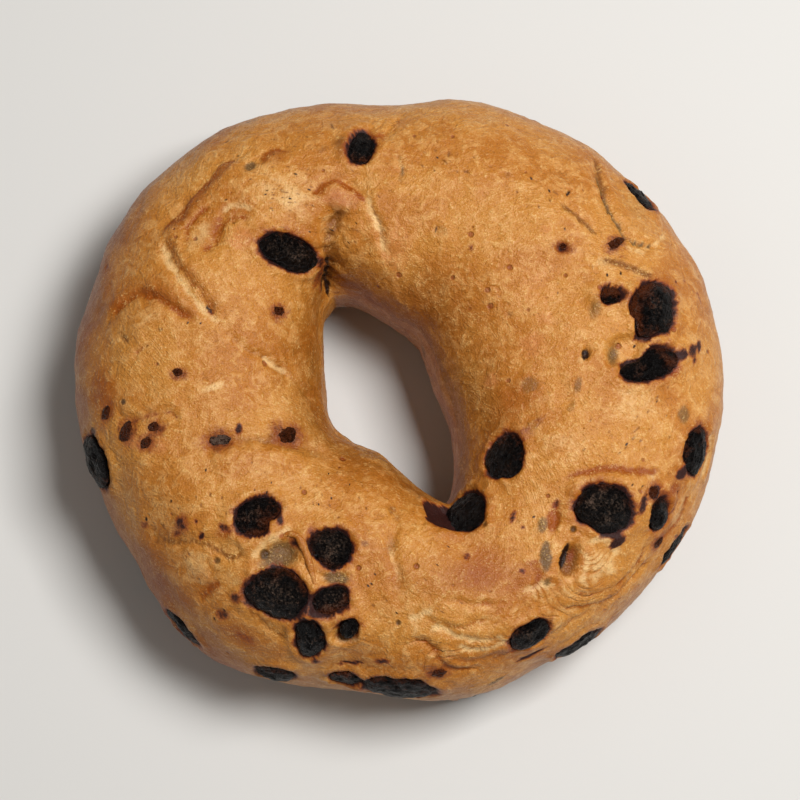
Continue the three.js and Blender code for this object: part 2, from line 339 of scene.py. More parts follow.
@dataclass(frozen=True)
class FruitSeat:
    """Where one fruit lies, measured on its own solid, in millimetres."""

    name: str
    number: int
    look: FruitLook
    middle: np.ndarray
    long_axis: np.ndarray
    wide_axis: np.ndarray
    outward: np.ndarray
    half: Triple
    notch_spread: float = 24.0
    most_share: float = 1.06

    @classmethod
    def of_node(cls, name: str, number: int, look: FruitLook, form: RingForm) -> "FruitSeat":
        """Measure a fruit's solid.

        Args:
            name: Name of the node.
            number: The fruit's number, which seeds its unevenness.
            look: What sets the fruit apart.
            form: The ring that the fruit lies on.

        Returns:
            The fruit's middle, its axes and half its sizes.
        """
        corners = vertex_places(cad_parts[name].data)
        points = np.unique(np.round(corners / MM, 3), axis=0)
        middle = (points.min(0) + points.max(0)) / 2
        _, directions = np.linalg.eigh(np.cov((points - middle).T))
        outward, wide, long = directions.T
        ring = math.degrees(math.atan2(middle[1] - form.centre[1], middle[0] - form.centre[0]))
        angle = np.array([ring])
        core = (form.point(angle, np.array([0.0])) + form.point(angle, np.array([180.0])))[0] / 2
        outward = outward * np.sign((middle - core) @ outward)
        long = long * np.sign(long[0])
        wide = np.cross(outward, long)
        half = tuple(float(np.abs((points - middle) @ axis).max()) for axis in (long, wide, outward))
        return cls(name, number, look, middle, long, wide, outward, half)

    def local(self, points: np.ndarray) -> np.ndarray:
        """Points measured along the fruit's own long, wide and outward axes, one a row."""
        moved = points - self.middle
        return np.stack([moved @ self.long_axis, moved @ self.wide_axis, moved @ self.outward], -1)

    def outline(self, across: np.ndarray, ragged: float = 0.05) -> np.ndarray:
        """How far the fruit reaches in each direction, as a share of its half sizes.

        Args:
            across: Directions along the fruit's long and wide axes, of length 1, one a row.
            ragged: How strong the finest unevenness is.

        Returns:
            The shares, around 1.
        """
        circle = np.column_stack([across, np.zeros(len(across))])
        share = 0.98 + 0.18 * wander(circle, 0.9, self.number)
        share += ragged * wander(circle, 0.22, self.number, 2)
        angle = np.degrees(np.arctan2(across[:, 1], across[:, 0]))
        for at, depth in self.look.notches:
            off = np.abs(np.mod(angle - at + 180.0, 360.0) - 180.0)
            share -= depth * bell(off, self.notch_spread)
        return np.minimum(share, self.most_share)


class CrustField:
    """Heights and tones of the crust, gathered feature by feature on a grid of points.

    Constants whose names end in PX are in pixels, those in WIDTHS are in a fold's widths and those in
    RADII in a mark's radii. FOLD_END is a share of a fold's length. Other lengths are in millimetres.
    """

    NEAREST_PX = 1.5
    BEHIND_PX = 50.0
    PARTS_PER_SPAN = 5
    FOLD_STRAY = 0.45
    FOLD_END = 0.18
    GROOVE_WIDTHS = 0.6
    LAP_START_WIDTHS = 0.8
    LAP_END_WIDTHS = 3.0
    # Reach of a fold's painted shade band, on its shaded side and on its other side.
    SHADE_BAND_REACH = 2.3
    SHADE_BAND_EDGE = 0.4
    MARK_UNEVENNESS = 0.22
    RIM_AT_RADII = 1.1
    RIM_WIDE_RADII = 0.3
    SEAT_REACH = 6.0
    SEAT_DEPTH = 1.3
    LIP_HEIGHT = 0.42
    LIP_UNEVENNESS = 0.35
    LIP_AT = 0.9
    LIP_WIDTH = 1.1
    CREVICE_DEPTH = 0.3
    CREVICE_AT = 0.05
    CREVICE_WIDTH = 0.3
    AMBER_REACH = 2.4
    AMBER_TINT = 0.4

    def __init__(self, form: RingForm, view: ReferenceView, ring: np.ndarray, section: np.ndarray) -> None:
        """Lay the grid on the plain ring.

        Args:
            form: The plain ring.
            view: The view that pixels are given in.
            ring: Ring angle of each point.
            section: Section angle of each point.
        """
        self.form, self.view = form, view
        self.ring, self.section = ring, section
        self.points = form.point(ring, section)
        self.normals = form.outward(ring, section)
        self.height = np.zeros(len(ring))
        self.tones = {tone: np.zeros(len(ring)) for tone in Tone}
        self.pixels, self.depth = view.project(self.points)
        self.facing = self.normals @ view.axes()[2]

    def find(self, at: Pair, chart: Chart) -> int:
        """Grid point at a place.

        Args:
            at: The place, as its chart gives it.
            chart: How the place is given.

        Returns:
            The index of the nearest point, the one in front where two lie behind each other.
        """
        if chart is Chart.RING:
            place = self.form.point(np.array([at[0]]), np.array([at[1]]))[0]
            return int(np.linalg.norm(self.points - place, axis=1).argmin())
        miss = np.hypot(*(self.pixels - np.array(at)).T)
        miss = miss + np.where(self.facing > 0, 0.0, self.BEHIND_PX)
        near = miss < miss.min() + self.NEAREST_PX
        return int(np.where(near, self.depth, np.inf).argmin())

    def add_tone(self, tone: Tone, share: np.ndarray, where: Any = slice(None)) -> None:
        """Raise a tone at some points, never past what is already there."""
        self.tones[tone][where] = np.maximum(self.tones[tone][where], share)

    def trace(self, fold: Fold) -> tuple[np.ndarray, np.ndarray, np.ndarray]:
        """Find the grid points beside a fold.

        Args:
            fold: The fold.

        Returns:
            Their indexes, how far to the left of the fold each lies, and its share of the way along.
        """
        stops = [self.find(at, Chart.VIEW) for at in fold.route]
        path = smooth_path(self.points[stops], self.PARTS_PER_SPAN)
        lean = unit(smooth_path(self.normals[stops], self.PARTS_PER_SPAN))
        reach = max(4 * fold.width, 3 * fold.line) + 1.0
        low, high = path.min(0) - reach, path.max(0) + reach
        near = np.flatnonzero(np.all((self.points > low) & (self.points < high), axis=1))
        spot = self.points[near]
        best = np.full(len(near), np.inf)
        side, along = np.ones(len(near)), np.zeros(len(near))
        for i in range(len(path) - 1):
            run = path[i + 1] - path[i]
            share = np.clip((spot - path[i]) @ run / (run @ run), 0.0, 1.0)
            gap = spot - path[i] - share[:, None] * run
            distance = np.linalg.norm(gap, axis=1)
            closer = distance < best
            best = np.where(closer, distance, best)
            side = np.where(closer, np.sign(gap @ np.cross(lean[i], run)), side)
            along = np.where(closer, (i + share) / (len(path) - 1), along)
        return near, side * best, along

    def lay_fold(self, fold: Fold) -> None:
        """Press one fold into the crust."""
        near, left, along = self.trace(fold)
        spot = self.points[near]
        seed = fold.width + fold.route[0][0]
        left = left + self.FOLD_STRAY * wander(spot, 1.9, seed, 2)
        best = np.abs(left)
        waver = 1.0 + 0.5 * wander(spot, 1.6, seed + 5.0, 2)
        fade = smooth_step(0.0, self.FOLD_END, along) * smooth_step(1.0, 1.0 - self.FOLD_END, along)
        self.height[near] -= fold.groove * fade * waver * bell(best, self.GROOVE_WIDTHS * fold.width)
        lap = np.where(left > 0, smooth_step(0.0, self.LAP_START_WIDTHS * fold.width, best), 0.0)
        self.height[near] += fold.step * fade * lap * np.exp(-best / (self.LAP_END_WIDTHS * fold.width))
        line = 0.7 * bell(best, fold.line) + 0.5 * bell(best, 0.5 * fold.line)
        self.add_tone(fold.tone, fold.tint * fade * waver * line, near)
        # Painted shade: a soft band of the fold's tone along one side of its step.
        if fold.shade_band:
            reach = np.where(left * fold.shade_band > 0, self.SHADE_BAND_REACH, self.SHADE_BAND_EDGE)
            band = np.exp(-best / reach)
            self.add_tone(fold.tone, 1.4 * abs(fold.shade_band) * fade * band * (0.6 + 0.4 * waver), near)

    def lay_mark(self, mark: Mark) -> None:
        """Press one mark into the crust."""
        index = self.find(mark.at, mark.chart)
        centre, lean = self.points[index], self.normals[index]
        right, up, _ = self.view.axes()
        if mark.chart is Chart.RING:
            right = np.cross(np.array([0.0, 0.0, 1.0]), lean) + 1e-6
            up = np.cross(lean, right)
        turn = math.radians(mark.turn)
        long_axis = math.cos(turn) * right + math.sin(turn) * up
        long_axis = unit(long_axis - (long_axis @ lean) * lean)
        wide_axis = np.cross(lean, long_axis)
        moved = self.points - centre
        near = np.flatnonzero(np.abs(moved).max(axis=1) < 1.6 * mark.long + 1.0)
        moved = moved[near]
        radius = np.hypot(moved @ long_axis / (mark.long / 2), moved @ wide_axis / (mark.wide / 2))
        uneven = wander(self.points[near], 0.35 * mark.wide + 0.3, mark.at[0] + mark.at[1])
        radius *= 1.0 + self.MARK_UNEVENNESS * uneven
        inside = smooth_step(1.0 + 0.5 * mark.edge, 1.0 - mark.edge, radius)
        self.height[near] += mark.rise * inside
        self.height[near] += mark.rim * bell(radius - self.RIM_AT_RADII, self.RIM_WIDE_RADII)
        self.add_tone(mark.tone, mark.tint * inside, near)

    def seat_fruit(self, seat: FruitSeat) -> None:
        """Sink the crust under one fruit, raise its lip and stain its surroundings."""
        local = seat.local(self.points)
        inside = np.abs(local).max(axis=1) < seat.half[0] + self.SEAT_REACH
        facing = self.normals @ seat.outward > 0.25
        level = np.abs(local[:, 2]) < seat.half[2] + self.SEAT_REACH / 2
        near = np.flatnonzero(inside & facing & level)
        spot, local = self.points[near], local[near, :2]
        across = unit(local + 1e-6)
        radius = np.hypot(*(local / np.array(seat.half[:2])).T) / seat.outline(across)
        mean = (seat.half[0] + seat.half[1]) / 2
        beyond = (radius - 1.0) * mean
        uneven = wander(spot, 1.6, seat.number, 2)
        self.height[near] -= self.SEAT_DEPTH * smooth_step(1.02, 0.8, radius)
        lip = self.LIP_HEIGHT + self.LIP_UNEVENNESS * uneven
        self.height[near] += lip * bell(beyond - self.LIP_AT, self.LIP_WIDTH)
        self.height[near] -= self.CREVICE_DEPTH * bell(beyond - self.CREVICE_AT, self.CREVICE_WIDTH)
        plain = np.hypot(*(local / np.array(seat.half[:2])).T) / seat.outline(across, 0.0)
        beyond = (plain - 1.0) * mean + 0.25 * wander(spot, 0.8, seat.number + 50.0, 2)
        spread = seat.look.halo * (1.0 + 1.3 * wander(spot, 1.4, seat.number + 20.0, 2))
        self.add_tone(Tone.STAIN, np.exp(-np.maximum(beyond, 0.0) / np.maximum(spread, 0.12)), near)
        spread = self.AMBER_REACH * (1.0 + 1.2 * wander(spot, 2.6, seat.number + 40.0, 2))
        amber = self.AMBER_TINT * np.exp(-np.maximum(beyond, 0.0) / np.maximum(spread, 0.3))
        self.add_tone(Tone.AMBER, amber, near)


def smooth_path(stops: np.ndarray, parts: int) -> np.ndarray:
    """Curve through stops.

    Args:
        stops: Points that the curve passes, one a row.
        parts: Into how many parts each span is cut.

    Returns:
        Points along the curve, one a row.
    """
    padded = np.vstack([2 * stops[0] - stops[1], stops, 2 * stops[-1] - stops[-2]])
    made = []
    for before, start, end, after in zip(padded, padded[1:], padded[2:], padded[3:]):
        for share in np.arange(parts) / parts:
            bend = (2 * before - 5 * start + 4 * end - after) * share**2
            twist = (3 * start - before - 3 * end + after) * share**3
            made.append(0.5 * (2 * start + (end - before) * share + bend + twist))
    return np.vstack([*made, stops[-1]])


class Wire:
    """A shader socket whose sums add Math nodes."""

    def __init__(self, maker: "Shader", socket: bpy.types.NodeSocket) -> None:
        """Wrap a socket of a shader's node."""
        self.maker, self.socket = maker, socket

    def _math(self, operation: str, *values: Any, clamp: bool = False) -> "Wire":
        """Add a Math node on values."""
        return self.maker.add("ShaderNodeMath", {"operation": operation, "use_clamp": clamp}, *values)

    def __add__(self, other: Any) -> "Wire":
        """Sum."""
        return self._math("ADD", self, other)

    __radd__ = __add__

    def __sub__(self, other: Any) -> "Wire":
        """Difference."""
        return self._math("SUBTRACT", self, other)

    def __rsub__(self, other: Any) -> "Wire":
        """Difference from a value on the left."""
        return self._math("SUBTRACT", other, self)

    def __mul__(self, other: Any) -> "Wire":
        """Product."""
        return self._math("MULTIPLY", self, other)

    __rmul__ = __mul__

    def clamped(self) -> "Wire":
        """The value kept between 0 and 1."""
        return self._math("ADD", self, 0.0, clamp=True)

    def ease(self, low: float, high: float) -> "Wire":
        """Ease from 0 at low to 1 at high."""
        settings = {"interpolation_type": "SMOOTHSTEP"}
        return self.maker.add("ShaderNodeMapRange", settings, self, low, high, 0.0, 1.0)


class Shader:
    """Builds one material's nodes."""

    def __init__(self, name: str) -> None:
        """Start an empty material with a Principled shader."""
        self.material = bpy.data.materials.new(name)
        self.material.use_nodes = True
        self.tree = self.material.node_tree
        self.tree.nodes.clear()
        self.output = self.tree.nodes.new("ShaderNodeOutputMaterial")
        self.surface = self.tree.nodes.new("ShaderNodeBsdfPrincipled")
        self.tree.links.new(self.surface.outputs[0], self.output.inputs["Surface"])

    def add(self, kind: str, settings: dict[str, Any] | None = None, *values: Any, out: Any = 0,
            **named: Any) -> Wire:
        """Add any node.

        Args:
            kind: The node's type.
            settings: Its own settings, set before its sockets.
            values: Values or wires of its first sockets, in order. None leaves one alone.
            out: Index or name of the output that is returned.
            named: Values or wires of sockets by name, with _ for a space.

        Returns:
            The output as a wire.
        """
        node = self.tree.nodes.new(kind)
        for key, value in (settings or {}).items():
            setattr(node, key, value)
        live = [socket for socket in node.inputs if socket.enabled]
        for socket, value in zip(live, values):
            self.feed(socket, value)
        for key, value in named.items():
            wanted = key.replace("_", " ")
            self.feed(next(socket for socket in live if socket.name == wanted), value)
        shown = [socket for socket in node.outputs if socket.enabled]
        return Wire(self, shown[out] if isinstance(out, int) else node.outputs[out])

    def feed(self, socket: bpy.types.NodeSocket, value: Any) -> None:
        """Link a wire to a socket or set its value."""
        if isinstance(value, Wire):
            self.tree.links.new(value.socket, socket)
        elif value is not None:
            wants_alpha = socket.type == "RGBA" and len(value) == 3
            socket.default_value = (*value, 1.0) if wants_alpha else value

    def mix(self, share: Any, first: Any, second: Any, blend: str = "MIX") -> Wire:
        """Mix two colours by a share."""
        settings = {"data_type": "RGBA", "blend_type": blend, "clamp_factor": True}
        return self.add("ShaderNodeMix", settings, share, first, second)

    def attribute(self, name: str, out: str = "Fac") -> Wire:
        """An attribute of the mesh."""
        return self.add("ShaderNodeAttribute", {"attribute_name": name}, out=out)

    def noise(self, scale: float, detail: float = 2.0, roughness: float = 0.5,
              distortion: float = 0.0) -> Wire:
        """Noise on Object coordinates.

        Args:
            scale: Features per metre.
            detail: How many finer layers it has.
            roughness: How strong the finer layers are.
            distortion: How far the pattern is stirred.

        Returns:
            The noise, around 0.5.
        """
        return self.add("ShaderNodeTexNoise", {}, Vector=self.place, Scale=scale, Detail=detail,
                        Roughness=roughness, Distortion=distortion)

    @property
    def place(self) -> Wire:
        """Object coordinates."""
        return self.add("ShaderNodeTexCoord", out="Object")

    def finish(self, bump: Wire, depth: float, **sockets: Any) -> bpy.types.Material:
        """Feed the surface and return the material.

        Args:
            bump: Height from 0 to 1.
            depth: How deep that height is, in metres.
            sockets: Values or wires of the surface's sockets, with _ for a space.

        Returns:
            The finished material.
        """
        normal = self.add("ShaderNodeBump", {}, Height=bump, Strength=1.0, Distance=depth)
        for key, value in {**sockets, "Normal": normal}.items():
            self.feed(self.surface.inputs[key.replace("_", " ")], value)
        return self.material


def screen_colour(code: str) -> Triple:
    """Linear colour of a six-digit screen colour code."""
    parts = [int(code[i : i + 2], 16) / 255 for i in (0, 2, 4)]
    return tuple(part / 12.92 if part <= 0.04045 else ((part + 0.055) / 1.055) ** 2.4 for part in parts)


@dataclass(frozen=True)
class CrustFinish:
    """Satin baked crust, with the tones that the crust's attributes bring, painted shade among them, and
    pale flecks of painted highlight.
    """

    golden: str = "B26D22"
    tan: str = "BF7E32"
    peach: str = "CC9250"
    rosy: str = "C67D44"
    pale: str = "DEB276"
    painted_glint: str = "E6BA74"
    # Painted highlight: colour of the pale glint flecks.
    amber: str = "924600"
    brown: str = "7E4A16"
    olive: str = "6C4C26"
    stain: str = "30100A"
    stain_edge: str = "803210"
    dark: str = "241006"

    def material(self) -> bpy.types.Material:
        """Build the material."""
        s = Shader("crust")
        wave = s.add("ShaderNodeTexNoise", {"noise_dimensions": "4D"}, Vector=s.attribute("flow", "Vector"),
                     W=s.attribute("flow_w"), Scale=0.4, Detail=0.6, Roughness=0.5, Distortion=0.8)
        clouds = s.noise(95.0, 3.0, 0.55, distortion=0.4)
        swirls = s.noise(240.0, 3.0, 0.55, distortion=1.8)
        blotches = s.noise(480.0, 2.0, 0.6, distortion=1.0)
        grain = s.noise(1500.0, 3.0, 0.7, distortion=0.4)
        fine = s.noise(3300.0, 2.0, 0.6)
        # Thin ridges along the dough's flow: they raise the bump and, through the mottle, the painted glint
        # flecks.
        strands = (1.0 - self._size(s, wave - 0.5) * 7.0).clamped() * clouds.ease(0.42, 0.62)
        lines = self._size(s, s.add("ShaderNodeMath", {"operation": "SINE"},
                                    s.noise(110.0, 1.0, 0.4, distortion=0.7) * 30.0))
        curly = (s.attribute(Tone.CURLY.value) * 1.3 + (swirls - 0.5) * 2.0 - 0.25).clamped()
        curls = (1.0 - lines * 1.7).clamped() * curly
        rosy = (s.attribute(Tone.ROSY.value) + (swirls - 0.5) * 1.0).ease(0.2, 0.9)
        pale = s.attribute(Tone.PALE.value) + (swirls - 0.5) * 0.9 + (grain - 0.5) * 0.5
        pale = (pale + curly * (lines - 0.55) * 0.9).ease(0.2, 1.0)
        brown = (s.attribute(Tone.BROWN.value) + (0.5 - swirls) * 0.7).ease(0.1, 1.0)
        amber = s.attribute(Tone.AMBER.value) + (grain - 0.5) * 0.4 + (0.5 - clouds) * 0.8
        amber = (amber + curls * 0.22).ease(0.05, 0.85)
        olive = (s.attribute(Tone.OLIVE.value) + (grain - 0.5) * 0.5).ease(0.2, 0.9)
        stain = s.attribute(Tone.STAIN.value) + (grain - 0.5) * 0.7 + (swirls - 0.5) * 0.5
        dark = (s.attribute(Tone.DARK.value) + (grain - 0.5) * 0.5).ease(0.25, 0.75)
        mottle = (grain - 0.5) * 0.8 + (fine - 0.5) * 1.2 + (blotches - 0.5) * 0.6 + strands * 0.1 - 0.03
        dots = self._dots(s, 330.0, 0.2, 0.74)
        freckles = self._dots(s, 140.0, 0.13, 0.66)
        layers = (
            (clouds.ease(0.38, 0.62), self.tan), ((swirls + blotches).ease(0.9, 1.25) * 0.7, self.peach),
            (rosy * 0.7, self.rosy), (pale, self.pale), (brown, self.brown), (amber, self.amber),
            (olive, self.olive), (mottle.ease(-0.02, -0.45) * 0.5, self.brown),
            # Painted highlight: where the mottle rises, pale glint flecks stand for the sparkle on the
            # crust's fine wrinkles.
            (mottle.ease(0.03, 0.4) * 0.55, self.painted_glint), (dots * 0.7, self.stain_edge),
            (freckles * 0.8, self.dark), (stain.ease(0.14, 0.55) * 0.75, self.stain_edge),
            (stain.ease(0.4, 0.8), self.stain), (dark, self.dark),
        )
        colour = screen_colour(self.golden)
        for share, code in layers:
            colour = s.mix(share, colour, screen_colour(code))
        height = strands * 0.08 + grain * 0.32 + fine * 0.25 + blotches * 0.55 - dots * 0.35 - freckles * 0.4
        roughness = 0.4 - mottle * 0.2 + stain.ease(0.3, 0.9) * 0.2
        return s.finish(height - curls * 0.22, 0.00055, Base_Color=colour, Roughness=roughness,
                        Subsurface_Weight=0.06, Subsurface_Radius=(1.0, 0.45, 0.2),
                        Subsurface_Scale=0.001, Specular_IOR_Level=0.3)

    @staticmethod
    def _size(s: Shader, value: Wire) -> Wire:
        """A value without its sign."""
        return s.add("ShaderNodeMath", {"operation": "ABSOLUTE"}, value)

    @staticmethod
    def _dots(s: Shader, scale: float, radius: float, chosen: float) -> Wire:
        """Scattered round specks.

        Args:
            s: The shader.
            scale: Cells per metre.
            radius: A speck's radius in cells.
            chosen: Share of cells that stay empty.

        Returns:
            1 in a speck and 0 outside.
        """
        cells = s.add("ShaderNodeTexVoronoi", {}, Vector=s.place, Scale=scale, Randomness=1.0)
        cell_colour = Wire(s, cells.socket.node.outputs["Color"])
        draw = s.add("ShaderNodeSeparateColor", {}, cell_colour)
        size = s.add("ShaderNodeSeparateColor", {}, cell_colour, out="Green")
        return (size * radius - cells).ease(-0.25 * radius, 0.25 * radius) * draw.ease(chosen, chosen + 0.02)


@dataclass(frozen=True)
class FruitFinish:
    """Near-black wrinkled dried fruit, ruddy at its rims, with grey-brown flecks on its crown that are
    partly dust and partly painted sheen.
    """

    skin: str = "060303"
    # Grey-brown of the crown's flecks: dust, and a painted sheen.
    dust: str = "6E5A4C"
    ruddy: str = "56260C"

    def material(self) -> bpy.types.Material:
        """Build the material."""
        s = Shader("dried_fruit")
        grain = s.noise(2300.0, 3.0, 0.75)
        wrinkles = s.noise(900.0, 2.0, 0.6, distortion=1.5)
        patches = s.noise(420.0, 2.0, 0.6)
        # Sparse flecks, strongest on the crown: real dust, and a painted sheen that stands for the fruit's
        # glints.
        dust = (s.attribute("dust") * 1.0 + (grain - 0.5) * 4.0 + (patches - 0.5) * 2.2).ease(0.5, 2.1)
        ruddy = (s.attribute("ruddy") + (patches - 0.5) * 1.6 + (grain - 0.5) * 1.2).ease(0.35, 1.0)
        colour = s.mix(ruddy, screen_colour(self.skin), screen_colour(self.ruddy))
        colour = s.mix(dust, colour, screen_colour(self.dust))
        roughness = 0.36 + (grain - 0.5) * 0.7
        return s.finish(grain * 0.6 + wrinkles * 1.0, 0.002, Base_Color=colour, Roughness=roughness,
                        Specular_IOR_Level=0.28)


@dataclass(frozen=True)
class FloorFinish:
    """Plain pale matt floor."""

    colour: str = "D4D2CE"

    def material(self) -> bpy.types.Material:
        """Build the material."""
        s = Shader("pale_floor")
        return s.finish(s.noise(60.0), 0.00002, Base_Color=screen_colour(self.colour), Roughness=0.8)


def new_piece(name: str, mesh: bpy.types.Mesh, material: bpy.types.Material) -> bpy.types.Object:
    """Put a finished mesh in the scene as a piece of the object.

    Args:
        name: The piece's name.
        mesh: Its mesh, in metres.
        material: Its material.

    Returns:
        The new object.
    """
    piece = bpy.data.objects.new(name, mesh)
    mesh.materials.append(material)
    mesh.polygons.foreach_set("use_smooth", [True] * len(mesh.polygons))
    bpy.context.collection.objects.link(piece)
    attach(piece, "root")
    log.info("%s: %d faces", name, len(mesh.polygons))
    return piece


def set_attribute(mesh: bpy.types.Mesh, name: str, values: np.ndarray) -> None:
    """Write a number or a vector for each vertex to the mesh."""
    kind, field = ("FLOAT_VECTOR", "vector") if values.ndim == 2 else ("FLOAT", "value")
    mesh.attributes.new(name, kind, "POINT").data.foreach_set(field, values.astype(np.float32).ravel())


